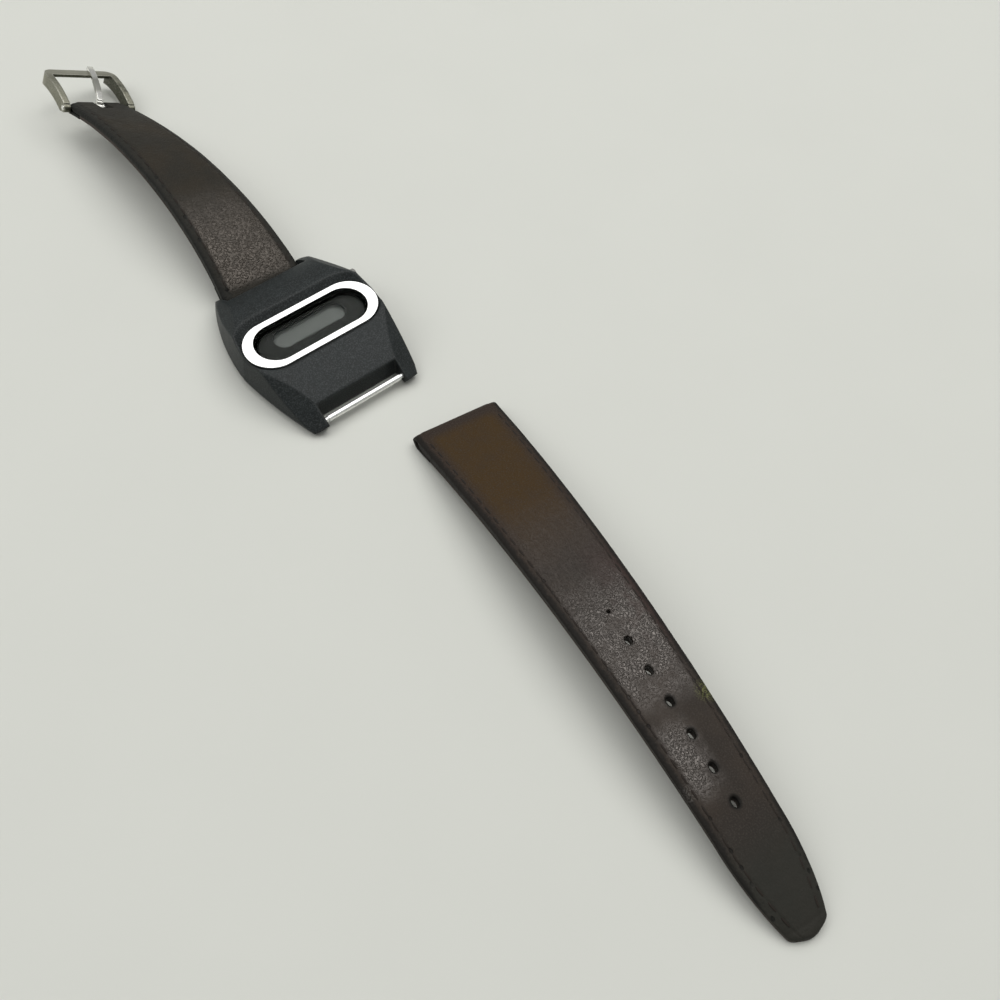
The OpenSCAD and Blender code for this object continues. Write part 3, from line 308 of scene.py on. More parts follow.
frame_plastic = Finish("grey_module_moulding", IOR=1.48)
flow = frame_plastic.grain(1.6 * MM, detail=4.0)
spark = frame_plastic.grain(0.12 * MM)
frame_plastic.set(
    Base_Color=frame_plastic.mixed(flow, (0.13, 0.135, 0.13), (0.18, 0.185, 0.175)),
    Roughness=0.4 + 0.15 * flow,
    Normal=frame_plastic.relief(spark, 0.01 * MM, 0.4, frame_plastic.eased(0.15 * MM)),
)
dress(frame_plastic, "lcd_holder", "module_base", "trimmer_body")


# The board is green glass laminate. The chip sits on it under a blob of black resin,
# with the quartz crystal's steel can and the brass trimmer that sets the rate.
# Springs, clips and screws are the same drawn steel, contacts and the cells' strip the same brass.
threads_per_metre = 900.0
laminate = Finish("green_laminate", IOR=1.5, Coat_Weight=0.3, Coat_Roughness=0.2)
cloth = laminate.add(
    "ShaderNodeTexWave", {"bands_direction": "DIAGONAL"}, {0: laminate.place, 1: threads_per_metre, 2: 1.0}
)
tint = laminate.grain(3.0 * MM)
laminate.set(
    Base_Color=laminate.mixed(0.6 * tint + 0.3 * cloth, (0.02, 0.075, 0.035), (0.045, 0.14, 0.065)),
    Roughness=0.35 + 0.15 * cloth,
)
dress(laminate, "circuit_board")

resin = Finish("black_potting_resin", Coat_Weight=0.4)
ripple = resin.grain(1.2 * MM, detail=2.0)
resin.set(
    Base_Color=resin.mixed(ripple, (0.008, 0.008, 0.009), (0.018, 0.018, 0.02)),
    Roughness=0.25 + 0.2 * ripple,
    Normal=resin.relief(ripple, 0.08 * MM, 0.5),
)
dress(resin, "watch_chip")

drawn_steel = Finish("drawn_steel", Metallic=1.0)
draw_lines = drawn_steel.grain(0.4 * MM, detail=4.0, place=drawn_steel.stretched((0.2, 5.0, 5.0)))
drawn_steel.set(
    Base_Color=drawn_steel.mixed(draw_lines, (0.5, 0.5, 0.48), (0.66, 0.66, 0.64)),
    Roughness=0.24 + 0.16 * draw_lines,
    Normal=drawn_steel.relief(draw_lines, 0.008 * MM, 0.4, drawn_steel.eased(0.1 * MM)),
)
dress(drawn_steel, "quartz_can", "strip_screws", "pusher_spring", "pusher_clip")
dress(drawn_steel, "upper_bar_spring", "lower_bar_spring")

sheet_brass = Finish("sheet_brass", Metallic=1.0)
darkening = sheet_brass.grain(1.8 * MM, detail=4.0)
sheet_brass.set(
    Base_Color=sheet_brass.mixed(darkening.between(0.35, 0.75), (0.72, 0.52, 0.24), (0.42, 0.27, 0.11)),
    Roughness=0.26 + 0.3 * darkening,
)
dress(sheet_brass, "trimmer_rotor", "pusher_contact", "cell_strip")


# Two silver-oxide cells in plated steel cans lie side by side in the base.
# An amber insulating sheet keeps them off the steel back.
cell_can = Finish("plated_cell_can", Metallic=1.0)
stain = cell_can.grain(2.2 * MM, detail=4.0)
cell_can.set(
    Base_Color=cell_can.mixed(stain.between(0.4, 0.8), (0.66, 0.65, 0.62), (0.42, 0.41, 0.38)),
    Roughness=0.2 + 0.25 * stain,
    Normal=cell_can.relief(stain, 0.01 * MM, 0.3, cell_can.eased(0.2 * MM)),
)
dress(cell_can, "battery_cell_left", "battery_cell_right")

amber = Finish("amber_insulating_sheet", IOR=1.5)
fibres = amber.grain(0.8 * MM, detail=4.0)
amber.set(Base_Color=amber.mixed(fibres, (0.36, 0.2, 0.06), (0.48, 0.3, 0.1)), Roughness=0.3 + 0.2 * fibres)
dress(amber, "insulating_sheet")


# The back is a plain stainless disc that snaps into the case, with a turned face and no marking.
# Years on the wrist have left fine scratches in every direction.
turns_per_metre = 1500.0
back_steel = Finish("turned_stainless_back", Metallic=1.0)
turning = back_steel.add(
    "ShaderNodeTexWave",
    {"wave_type": "RINGS", "rings_direction": "Z"},
    {0: back_steel.place, 1: turns_per_metre, 2: 1.5, 3: 3.0, 4: 40.0},
)
wiping = back_steel.grain(1.0 * MM, detail=6.0, rough=0.7, place=back_steel.stretched((1.0, 7.0, 1.0)))
scuffs = back_steel.grain(0.9 * MM, detail=6.0, rough=0.7, place=back_steel.stretched((6.0, 1.0, 1.0)))
scratched = 0.6 * turning + 0.3 * wiping + 0.3 * scuffs
back_steel.set(
    Base_Color=back_steel.mixed(wiping, (0.48, 0.48, 0.46), (0.6, 0.6, 0.58)),
    Roughness=0.24 + 0.12 * turning + 0.14 * scuffs,
    Normal=back_steel.relief(scratched, 0.006 * MM, 0.5, back_steel.eased(0.15 * MM)),
)
dress(back_steel, "case_back")


# The pusher is a small turned stainless pin with an eased end, dull from skin and pocket dirt.
# It sets the time, and stands out of the case's right side, towards 12 o'clock.
pusher_steel = Finish("dull_pusher_steel", Metallic=0.85)
grime = pusher_steel.grain(0.5 * MM, detail=4.0)
pusher_steel.set(
    Base_Color=pusher_steel.mixed(grime.between(0.35, 0.7), (0.30, 0.295, 0.28), (0.14, 0.135, 0.125)),
    Roughness=0.42 + 0.3 * grime,
    Normal=pusher_steel.relief(grime, 0.02 * MM, 0.4, pusher_steel.eased(0.3 * MM)),
)
dress(pusher_steel, "pusher")


# The two strap bars are drawn stainless tubes with a sprung pin at each end.
# The one at 6 o'clock lies bare and catches the light along its whole length.
bar_steel = Finish("polished_bar_steel", Metallic=1.0)
rubbing = bar_steel.grain(0.5 * MM, detail=4.0, place=bar_steel.stretched((0.3, 4.0, 4.0)))
bar_steel.set(
    Base_Color=bar_steel.mixed(rubbing, (0.95, 0.95, 0.93), (0.84, 0.84, 0.82)),
    Roughness=0.22 + 0.12 * rubbing,
    Normal=bar_steel.relief(rubbing, 0.004 * MM, 0.4, bar_steel.eased(0.12 * MM)),
)
dress(bar_steel, "upper_bar_tube", "upper_bar_pin_left", "upper_bar_pin_right")
dress(bar_steel, "lower_bar_tube", "lower_bar_pin_left", "lower_bar_pin_right")


# The strap towards 12 o'clock is dark brown calf on a split lining, turned round the bar at one end
# and round the buckle's bar at the other. It has kept the arch and the twist that wear gave it,
# so its middle follows one curve from bar to bar. Its sizes are in millimetres.
strap_start = Vector((0, 19.7, 2.3))
strap_end = Vector((-0.7, 93.2, 5.5))
start_pull = 14.2  # how far the curve keeps the direction of each end
end_pull = 37.4
start_tilt = (28, 0, -7)  # slope, roll and turn of each end, in degrees
end_tilt = (-18.5, 24, -3)
spine_count = 400
strap_half_start = 9.85
strap_half_end = 7.5
narrowed_by = 0.9  # the share of the length at which the strap is at its narrowest
half_thick_start = 1.85
thinning = 0.5
thinned_by = 0.8
bar_turn = 1.87  # outer and inner radius of the leather round the spring bar
bar_bore = 0.8
pin_turn = 1.42  # the same round the buckle's bar
pin_bore = 0.65
fold_length = 5  # how far the turned ends run back, from fold_gap beyond the bar
fold_gap = 0.4
start_fold = 0.86  # thickness of the turned ends
fold_skiving = 0.1
end_fold = 0.68
split_height = 0.9  # height of the grain leather's flesh side above the underside
lift_length = 2.4
arris = 0.3
groove_inset = 1.6
groove_half = 0.45
groove_depth = 0.12
strap_paring = (2.4, 0.85)  # width and depth of the slope towards the edge
strap_unevenness = 0.05
tongue_slot_half = 1.65
tongue_slot_length = 5.0


def tilted(direction, slope, roll, turn):
    """A direction tipped about X, then rolled about Y, then turned about Z, in degrees."""
    tip = Matrix.Rotation(math.radians(slope), 3, "X")
    lean = Matrix.Rotation(math.radians(roll), 3, "Y")
    swing = Matrix.Rotation(math.radians(turn), 3, "Z")
    return swing @ lean @ tip @ Vector(direction)


end_axis = tilted((1, 0, 0), *end_tilt)
spine = [
    strap_start,
    strap_start + start_pull * tilted((0, 1, 0), *start_tilt),
    strap_end - end_pull * tilted((0, 1, 0), *end_tilt),
    strap_end,
]


def spine_point(t):
    r = 1 - t
    return r**3 * spine[0] + 3 * r * r * t * spine[1] + 3 * r * t * t * spine[2] + t**3 * spine[3]


def spine_frame(t):
    """The directions along, across and up from the strap at t, which is 0 at the case and 1 at the buckle."""
    r = 1 - t
    first, second, third = spine[1] - spine[0], spine[2] - spine[1], spine[3] - spine[2]
    along = (r * r * first + 2 * r * t * second + t * t * third).normalized()
    across = r * Vector((1, 0, 0)) + t * end_axis
    across = (across - across.dot(along) * along).normalized()
    return along, across, across.cross(along)


spine_steps = [spine_point(i / spine_count) for i in range(spine_count + 1)]
spine_reach = [0.0]
for here, there in zip(spine_steps, spine_steps[1:]):
    spine_reach.append(spine_reach[-1] + (there - here).length)
strap_reach = spine_reach[-1]


def spine_share(reach):
    """Where on the curve a point lies that is reach millimetres along it, 0 to 1."""
    reach = min(max(reach, 0.0), strap_reach)
    low, high = 0, spine_count
    while high - low > 1:
        middle = (low + high) // 2
        low, high = (middle, high) if spine_reach[middle] <= reach else (low, middle)
    return (low + (reach - spine_reach[low]) / (spine_reach[high] - spine_reach[low])) / spine_count


def strap_place(reach, side, height):
    t = spine_share(reach)
    along, across, up = spine_frame(t)
    beyond = reach - min(max(reach, 0.0), strap_reach)
    return spine_point(t) + side * across + height * up + beyond * along


def strap_half_width(t):
    return strap_half_start - (strap_half_start - strap_half_end) * min(t / narrowed_by, 1)


def strap_half_thickness(t):
    return half_thick_start - thinning * min(t / thinned_by, 1)


def rounded(inset, radius):
    """How far a rounded arris has fallen back at inset millimetres from it."""
    left = max(radius - inset, 0)
    return radius - math.sqrt(max(radius**2 - left**2, 0))


def edge_drop(inset, width, drop):
    """How far the grain side falls at inset millimetres from an edge: a pared slope, then a round."""
    fall = rounded(inset, arris)
    if inset < width:
        fall += drop * (1 - inset / width) ** 1.6
    groove = abs(inset - groove_inset)
    if groove < groove_half:
        fall += groove_depth * (1 + math.cos(math.pi * groove / groove_half)) / 2
    return fall


def linked(name, bm):
    """Makes an object of a finished bmesh and links it to the scene."""
    mesh = bpy.data.meshes.new(name)
    bm.to_mesh(mesh)
    bm.free()
    piece = bpy.data.objects.new(name, mesh)
    bpy.context.scene.collection.objects.link(piece)
    return piece


def leather_piece(name, rows, steps, place, chart, kept=None):
    """A cut piece of leather: a grid, extruded to a slab, whose points move to their place on the strap."""
    columns = len(steps) - 1

    def cell(point):
        return (point.x + 1) / 2 * rows, (point.y + 1) / 2 * columns

    bm = bmesh.new()
    bmesh.ops.create_grid(bm, x_segments=rows, y_segments=columns, size=1)
    if kept:
        gone = [f for f in bm.faces if not kept(*cell(f.calc_center_median()))]
        bmesh.ops.delete(bm, geom=gone, context="FACES")
    made = bmesh.ops.extrude_face_region(bm, geom=bm.faces[:])
    raised = [v for v in made["geom"] if isinstance(v, bmesh.types.BMVert)]
    bmesh.ops.translate(bm, vec=(0, 0, 1), verts=raised)
    layer = bm.loops.layers.uv.new("hide")
    spots = {}
    for v in bm.verts:
        row, column = cell(v.co)
        low = min(int(column + 1e-6), columns)
        high = min(low + 1, columns)
        share = steps[low] + (steps[high] - steps[low]) * (column - low)
        spots[v] = (row, share, round(v.co.z))
    for f in bm.faces:
        f.smooth = True
        for loop in f.loops:
            loop[layer].uv = chart(*spots[loop.vert])
    for v, spot in spots.items():
        v.co = place(*spot) * MM
    bmesh.ops.recalc_face_normals(bm, faces=bm.faces)
    return linked(name, bm)


edge_steps = [-1, -0.992, -0.975, -0.95, -0.915, -0.885, -0.86, -0.835, -0.81, -0.785, -0.75]
across_steps = edge_steps + [i / 20 for i in range(-14, 15)] + [-s for s in reversed(edge_steps)]
strap_rows = 250
loop_rows = 24
fold_rows = 12


def round_bar(angle, radius):
    """Reach and height on a turn of leather, at an angle from its top or bottom."""
    return radius * math.sin(angle), radius * math.cos(angle)


def strap_path(row):
    """Reach and height of the leather's grain side at a row, then of its flesh side."""
    ends = fold_rows + loop_rows
    if row < fold_rows:
        reach = fold_length * (1 - row / fold_rows)
        h = strap_half_thickness(spine_share(reach))
        return (reach, -h), (max(reach, fold_gap), -h + start_fold + fold_skiving * max(1 - reach, 0))
    if row < ends:
        angle = math.pi * (row - fold_rows) / loop_rows
        return round_bar(angle, -bar_turn), round_bar(angle, -bar_bore)
    if row <= strap_rows - ends:
        share = (row - ends) / (strap_rows - 2 * ends)
        reach = strap_reach * share
        h = strap_half_thickness(spine_share(reach))
        near = min(reach, strap_reach - reach)
        bore = bar_bore if reach < strap_reach / 2 else pin_bore
        lift = max(1 - near / lift_length, 0) ** 2 * (bore + h - split_height)
        return (reach, h), (reach, split_height - h + lift)
    if row <= strap_rows - fold_rows:
        angle = math.pi * (row - strap_rows + ends) / loop_rows
        outer, inner = round_bar(angle, pin_turn), round_bar(angle, pin_bore)
        return (strap_reach + outer[0], outer[1]), (strap_reach + inner[0], inner[1])
    reach = fold_length * (row - strap_rows + fold_rows) / fold_rows
    h = strap_half_thickness(1)
    return (strap_reach - reach, -h), (strap_reach - max(reach, fold_gap), -h + end_fold)


def strap_leather_place(row, share, inner):
    reach, height = strap_path(row)[inner]
    width = strap_half_width(spine_share(reach))
    ends = fold_rows + loop_rows / 2
    if not inner and ends < row < strap_rows - ends:
        height -= edge_drop(width * (1 - abs(share)), *strap_paring)
        height += strap_unevenness * noise.noise(Vector((reach * 0.16, share * 2.0, 3.0)))
    return strap_place(reach, width * share, height)


chart_span = 100
chart_margin = 10


def hide_chart(reach, side):
    """The hide's own flat chart: chart_span millimetres are 1, and the strap's middle line lies at 0.5."""
    return (reach + chart_margin) / chart_span, 0.5 + side / chart_span


def on_chart(finish):
    """The same two measures read back in a finish: reach, and distance from the middle line."""
    return finish.measure(0) * chart_span - chart_margin, (finish.measure(1) - 0.5) * chart_span


def strap_chart(row, share, inner):
    reach = strap_path(row)[0][0]
    return hide_chart(reach, share * strap_half_width(spine_share(reach)))


def strap_kept(row, column):
    """The slot for the tongue is left out of the leather at the buckle's end."""
    low, high = across_steps[int(column)], across_steps[int(column) + 1]
    side = abs(low + high) / 2 * strap_half_end
    return side > tongue_slot_half or strap_path(row)[0][0] <= strap_reach - tongue_slot_length


strap_leather = leather_piece(
    "strap_leather", strap_rows, across_steps, strap_leather_place, strap_chart, strap_kept
)


def pebbled(finish, curl_count, curl, stretch, count):
    """Fine pebbles with wandering walls: 0 in the valleys, 1 on the domes."""
    drift = finish.add("ShaderNodeTexNoise", {}, {0: finish.place, 2: curl_count, 3: 3.0}, out=1)
    drift = finish.add("ShaderNodeVectorMath", {"operation": "SCALE"}, {0: drift, "Scale": curl})
    drift = finish.add("ShaderNodeVectorMath", {"operation": "ADD"}, {0: finish.place, 1: drift})
    cells = {0: finish.stretched(stretch, drift), 2: count}
    return finish.add("ShaderNodeTexVoronoi", {"feature": "DISTANCE_TO_EDGE"}, cells).between(0.0, 0.36)


def pricked(reach, from_edge, start, pitch, long, wide, rim):
    """The holes pricked between the stitches of a seam: 1 in each hole."""
    along = ((reach - start) / pitch).math("FRACT") * pitch - pitch / 2
    aside = (from_edge - groove_inset) ** 2.0
    return ((along * along) / long + aside / wide).between(1.3, rim)


def frayed_edge(finish, from_edge):
    return 1.1 * finish.grain(0.014, detail=4.0, rough=0.65) * from_edge.between(2.2, 1.0)


def ragged(finish, from_edge, swing):
    """The distance from the edge, made uneven by up to half of swing."""
    return from_edge + swing * (finish.grain(0.016, detail=4.0, rough=0.65) - 0.5)


def polished(finish, share, tint, roughness, index, shine, normal):
    """A second, shinier skin over the leather where share is 1."""
    sockets = {"Base Color": tint, "Roughness": roughness, "IOR": index, "Specular Tint": shine}
    sockets["Normal"] = normal
    finish.covered(share, finish.add("ShaderNodeBsdfPrincipled", {}, sockets))


strap_taper = 0.034
strap_stitch_start = 4.0
strap_stitch_pitch = 3.3
calf = Finish("worn_brown_calf", chart="hide", IOR=1.45, Specular_IOR_Level=0.14)
reach, aside = on_chart(calf)
from_edge = strap_half_start - strap_taper * reach - aside.math("ABSOLUTE")
pores = calf.grain(0.003, detail=3.0)
pebbles = pebbled(calf, curl_count=160.0, curl=0.012, stretch=(1.0, 0.62, 1.0), count=108.0)
oily = calf.grain(0.025, detail=4.0)
bent = reach.between(31.0, 15.0) * reach.between(1.0, 3.5) * from_edge.between(1.7, 2.4)
bent = bent * (0.6 + 0.4 * oily.between(0.35, 0.6)) * (1 - 0.3 * aside.between(0.0, 7.0))
prick = pricked(reach, from_edge, strap_stitch_start, strap_stitch_pitch, long=0.3, wide=0.16, rim=0.5)
prick = prick * reach.between(44.0, 30.0) * aside.between(2.0, -2.0)
prick = 0.85 * prick * (0.2 + 0.8 * calf.grain(0.05, detail=1.0).between(0.42, 0.56))
patch = calf.grain(0.07, detail=3.0)
hide = calf.mixed(patch.between(0.35, 0.68), (0.0215, 0.0195, 0.0150), (0.027, 0.0220, 0.0150))
hide = calf.mixed(pores.between(0.45, 0.7) * 0.5, hide, (0.045, 0.040, 0.033))
hide = calf.mixed(reach.between(56.0, 72.0) * 0.5, hide, (0.019, 0.019, 0.017))
# Painted shade darkens the valleys between the pebbles where the strap is bent.
hide = calf.mixed(bent * pebbles.between(0.35, 0.0) * 0.7, hide, (0.008, 0.007, 0.006))
blackened_edge = ragged(calf, from_edge, swing=1.2).between(1.1, 0.3)
hide = calf.mixed(blackened_edge * 0.8, hide, (0.008, 0.008, 0.007))
hide = calf.mixed(from_edge.between(2.3, 1.9) * 0.5, hide, (0.019, 0.020, 0.018))
hide = calf.mixed(prick * 0.9, hide, (0.003, 0.003, 0.003))
skin = calf.relief(
    (0.2 + 0.8 * bent) * pebbles + 0.08 * pores - 1.2 * prick + frayed_edge(calf, from_edge),
    0.2 * MM, 1.0, calf.relief(oily, 0.5 * MM, 0.5),
)
calf.set(Base_Color=hide, Roughness=0.52 + 0.16 * oily - 0.2 * bent, Normal=skin)
polished(
    calf, bent, tint=(0.020, 0.0155, 0.0115), roughness=0.25, index=1.68, shine=(1.0, 0.9, 0.8), normal=skin
)
strap_leather.data.materials.append(calf.material)
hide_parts("buckle_strap_top")
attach(strap_leather, "buckle_strap")


# The lining is a split skin glued under the strap, from fold to fold. It is plain, paler and grubby,
# and shows at the strap's edges and from below.
lining_steps = [-1, -0.985, -0.95] + [i / 10 for i in range(-9, 10)] + [0.95, 0.985, 1]
lining_rows = 120
lining_start = 5.15
lining_inset = 0.03
lining_thickness = 0.87


def lining_reach(row):
    return lining_start + (strap_reach - 2 * lining_start) * row / lining_rows


def lining_place(row, share, inner):
    reach = lining_reach(row)
    t = spine_share(reach)
    width = strap_half_width(t) - lining_inset
    height = -strap_half_thickness(t)
    height += lining_thickness if inner else rounded(width * (1 - abs(share)), arris)
    return strap_place(reach, width * share, height)


def lining_chart(row, share, inner):
    reach = lining_reach(row)
    return hide_chart(reach, share * strap_half_width(spine_share(reach)))


strap_lining = leather_piece("strap_lining", lining_rows, lining_steps, lining_place, lining_chart)
split = Finish("split_lining_leather", chart="hide")
nap = split.grain(0.006, detail=5.0, rough=0.7)
sweat = split.grain(0.12, detail=3.0)
split.set(
    Base_Color=split.mixed(sweat.between(0.4, 0.65), (0.046, 0.035, 0.028), (0.025, 0.020, 0.016)),
    Roughness=0.75 + 0.15 * nap,
    Normal=split.relief(nap, 0.12 * MM, 0.6),
)
strap_lining.data.materials.append(split.material)
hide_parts("buckle_strap_lining")
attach(strap_lining, "buckle_strap")


# Each strap is sewn along both edges with waxed brown thread, one saddle stitch about every 3 mm.
# The thread lies sunk in the pressed groove, with a pricked hole between two stitches.
stitch_width = 0.42
stitch_height = 0.62 * stitch_width
stitch_proud = 0.03
stitch_lead = 0.2  # how far ahead along the seam a stitch points
strap_stitch_length = 2.2
strap_stitch_end = 6  # how far before the buckle's bar the rows stop


def stitch_spots(start, stop, pitch, seam_place, outward):
    """Spots of both rows of stitches: a place, the thread's direction and the leather's outward direction."""
    spots = []
    for side in (-1, 1):
        at = start
        while at < stop:
            here = seam_place(at, side)
            along = (seam_place(at + stitch_lead, side) - here).normalized()
            up = outward(at)
            spots.append((here, along, (up - up.dot(along) * along).normalized()))
            at += pitch
    return spots


def sewn_row(name, spots, length):
    """One stitch at each spot, a flattened bead of thread of that length."""
    bm = bmesh.new()
    for centre, along, up in spots:
        made = bmesh.ops.create_uvsphere(bm, u_segments=8, v_segments=6, radius=0.5)
        across = up.cross(along).normalized()
        turn = Matrix((across, up, along)).transposed().to_4x4()
        size = Matrix.Diagonal((stitch_width, stitch_height, length, 1))
        bmesh.ops.transform(bm, matrix=Matrix.Translation(centre) @ turn @ size, verts=made["verts"])
    bmesh.ops.scale(bm, vec=(MM, MM, MM), verts=bm.verts)
    bmesh.ops.recalc_face_normals(bm, faces=bm.faces)
    for f in bm.faces:
        f.smooth = True
    return linked(name, bm)


def strap_seam(reach, side):
    t = spine_share(reach)
    height = strap_half_thickness(t) - edge_drop(groove_inset, *strap_paring) + stitch_proud
    return strap_place(reach, side * (strap_half_width(t) - groove_inset), height)


def strap_outward(reach):
    return spine_frame(spine_share(reach))[2]


thread = Finish("waxed_brown_thread", Specular_IOR_Level=0.2)
ply = thread.grain(0.3 * MM, detail=3.0)
thread.set(
    Base_Color=thread.mixed(ply, (0.012, 0.009, 0.007), (0.030, 0.023, 0.018)),
    Roughness=0.6 + 0.2 * ply,
    Normal=thread.relief(ply, 0.05 * MM, 0.6),
)
strap_stitches = stitch_spots(
    strap_stitch_start, strap_reach - strap_stitch_end, strap_stitch_pitch, strap_seam, strap_outward
)
strap_thread = sewn_row("strap_thread", strap_stitches, strap_stitch_length)
strap_thread.data.materials.append(thread.material)
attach(strap_thread, "buckle_strap")


# The buckle's frame is bent from steel strip, plated once and now dull, with a bar riveted through its arms.
# Painted shade darkens the inside of its right arm, its inner faces and its front. The tongue is rolled round
# the bar and lies on the shallow front bar.
arms_start = 105.5 * MM
arms_full = 102.5 * MM
buckle_steel = Finish("dull_plated_buckle", Metallic=1.0)
eased = buckle_steel.eased(0.45 * MM)
worn = buckle_steel.worn(eased)
pitting = buckle_steel.grain(0.35 * MM, detail=4.0, rough=0.65)
yellowing = buckle_steel.grain(3.5 * MM, detail=3.0)
plate = buckle_steel.mixed(yellowing, (0.45, 0.44, 0.37), (0.27, 0.26, 0.205))
plate = buckle_steel.mixed(worn * 0.5, plate, (0.75, 0.74, 0.68))
place_x = buckle_steel.measure(0)
arms = buckle_steel.measure(1).between(arms_start, arms_full)
plate = buckle_steel.mixed(
    arms * (0.25 + 0.5 * pitting.between(0.4, 0.6)), plate, (0.17, 0.168, 0.125)
)
# Painted shade: the right arm, the faces turned inwards and the faces turned to the front are darkened,
# broken up by the pitting.
right_arm = arms * place_x.between(6.5 * MM, 7.2 * MM) * yellowing.between(0.5, 0.35)
inner_face = place_x.between(0.5 * MM, 4.0 * MM) * (0 - buckle_steel.outward(0)).between(0.3, 0.7)
front_edge = (0 - buckle_steel.outward(1)).between(0.55, 0.85)
darkening = (inner_face + 0.8 * front_edge + 0.7 * right_arm).math("MINIMUM", 1.0)
darkening = darkening * (0.7 + 0.3 * pitting.between(0.35, 0.6))
plate = buckle_steel.mixed(darkening * 0.95, plate, (0.035, 0.037, 0.022))
buckle_steel.set(
    Base_Color=buckle_steel.mixed(pitting.between(0.6, 0.75) * 0.5, plate, (0.14, 0.13, 0.1)),
    Roughness=0.34 + 0.2 * pitting - 0.1 * worn,
    Normal=buckle_steel.relief(pitting, 0.02 * MM, 0.5, eased),
)
dress(buckle_steel, "buckle_frame")

shaded_from = (94.5 * MM, 96.5 * MM)  # where the tongue's duller middle with its painted shade fades in, and where it ends
shaded_to = (102.0 * MM, 99.5 * MM)
tongue_steel = Finish("bright_tongue_steel", Metallic=1.0)
rub = tongue_steel.grain(0.5 * MM, detail=4.0)
place_y = tongue_steel.measure(1)
# The tongue's middle is rougher and painted dark, a painted shade.
dull_and_shaded = place_y.between(*shaded_to) * place_y.between(*shaded_from)
bright = tongue_steel.mixed(rub, (0.92, 0.915, 0.88), (0.74, 0.73, 0.68))
tongue_steel.set(
    Base_Color=tongue_steel.mixed(dull_and_shaded * 0.75, bright, (0.17, 0.17, 0.14)),
    Roughness=0.13 + 0.1 * rub + 0.2 * dull_and_shaded,
    Normal=tongue_steel.relief(rub, 0.01 * MM, 0.4, tongue_steel.eased(0.35 * MM)),
)
dress(tongue_steel, "buckle_tongue", "buckle_bar")


# The tail strap is the longer half, off its bar and lying face up beside the case. It is the same calf,
# rubbed to bare brown near the lugs and blackened at the edges and the tip, with seven stretched holes.
# Its reach runs from the empty turn at the lug end to the tip, in millimetres.
tail_reach = 120.6
tail_turn = Matrix.Rotation(math.radians(-98.5), 3, "Z")
tail_start = Vector((11.7, -35.8, 0))
tail_eye = 1.9  # reach and height of the empty turn's middle
under_heights = (0.1, 8.2, 0.0)  # at the eye, half way and at the tip
seam_heights = (1.0, 9.1, 0.95)
grain_heights = (3.75, 10.7, 1.9)
tail_half_start = 9.85
tail_half_end = 6.85
taper_end = 100.9
tip_arc = 65  # radius of each side from the taper's end to the tip, and the reach of its middle
tip_arc_centre = 100.7
tip_corner = 1.3
blunt_length = 9
blunt_radius = 8.5
blunt_half = 3.73
tail_paring = (2.2, 0.55)
tip_paring = (0.9, 0.2)
tip_groove = (0.1, 2.1, 0.35)  # depth of the seam's groove round the tip, its distance in and its width
tail_unevenness = 0.06
first_hole = 57.3
hole_pitch = 6.6
hole_count = 7
closed_hole = (0.5, 0.34)  # the first hole has almost closed up
open_hole = (0.95, 0.66)
punched_share = 0.86  # cells of the leather nearer than this share of the rim are cut away
rim_share = 0.55
hole_lip = (0.1, 1.5, 0.35)  # height, place as a share of the rim and width of the lip round a hole
hole_sink = (0.14, 1.0, 0.25)  # the same for the dip at the rim
tail_rows = 460
tail_loop_rows = 24
tail_fold_rows = 14
tail_fold_gap = 0.5
tail_fold_seam = 0.02
hole_reach = [first_hole + hole_pitch * i for i in range(hole_count)]


def arc_height(reach, heights):
    """Height at reach on the circle through three heights: at the eye, half way and at the tip."""
    x1, x2, x3 = tail_eye, (tail_eye + tail_reach) / 2, tail_reach
    y1, y2, y3 = heights
    r1, r2, r3 = x1**2 + y1**2, x2**2 + y2**2, x3**2 + y3**2
    d = 2 * (x1 * (y2 - y3) + x2 * (y3 - y1) + x3 * (y1 - y2))
    cx = (r1 * (y2 - y3) + r2 * (y3 - y1) + r3 * (y1 - y2)) / d
    cy = (r1 * (x3 - x2) + r2 * (x1 - x3) + r3 * (x2 - x1)) / d
    radius = math.hypot(x1 - cx, y1 - cy)
    return cy + math.sqrt(max(radius**2 - (reach - cx) ** 2, 0))


def tail_faces(reach):
    """Heights of the underside, the seam and the grain side of the tail strap."""
    return [arc_height(reach, heights) for heights in (under_heights, seam_heights, grain_heights)]


def tail_half_width(reach):
    if reach < taper_end:
        return tail_half_start + (tail_half_end - tail_half_start) * max(reach, 0) / taper_end
    bow = tip_arc - math.sqrt(tip_arc**2 - (reach - tip_arc_centre) ** 2)
    return tail_half_end - bow - rounded(tail_reach - reach, tip_corner)


def tail_tip_shift(reach, share):
    """The tip is cut to a blunt curve, so its last rows lie further back towards the edges."""
    near = max(reach - tail_reach + blunt_length, 0) / blunt_length
    return near * near * (blunt_radius - math.sqrt(blunt_radius**2 - (blunt_half * share) ** 2))


def tail_place(reach, side, height):
    return tail_start + tail_turn @ Vector((reach, side, height))


def tail_path(row):
    """Reach and height of the tail's grain side at a row, then of its flesh side."""
    ends = tail_fold_rows + tail_loop_rows
    if row < tail_fold_rows:
        reach = tail_eye + fold_length * (1 - row / tail_fold_rows)
        under, seam, _ = tail_faces(reach)
        return (reach, under), (max(reach, tail_eye + tail_fold_gap), seam - tail_fold_seam)
    if row < ends:
        angle = math.pi * (row - tail_fold_rows) / tail_loop_rows
        outer, inner = round_bar(angle, bar_turn), round_bar(angle, bar_bore)
        return (tail_eye - outer[0], tail_eye - outer[1]), (tail_eye - inner[0], tail_eye - inner[1])
    reach = tail_eye + (tail_reach - tail_eye) * (row - ends) / (tail_rows - ends)
    _, seam, over = tail_faces(reach)
    lift = max(1 - (reach - tail_eye) / lift_length, 0) ** 2 * (tail_eye + bar_bore - seam)
    return (reach, over), (reach, seam + lift)


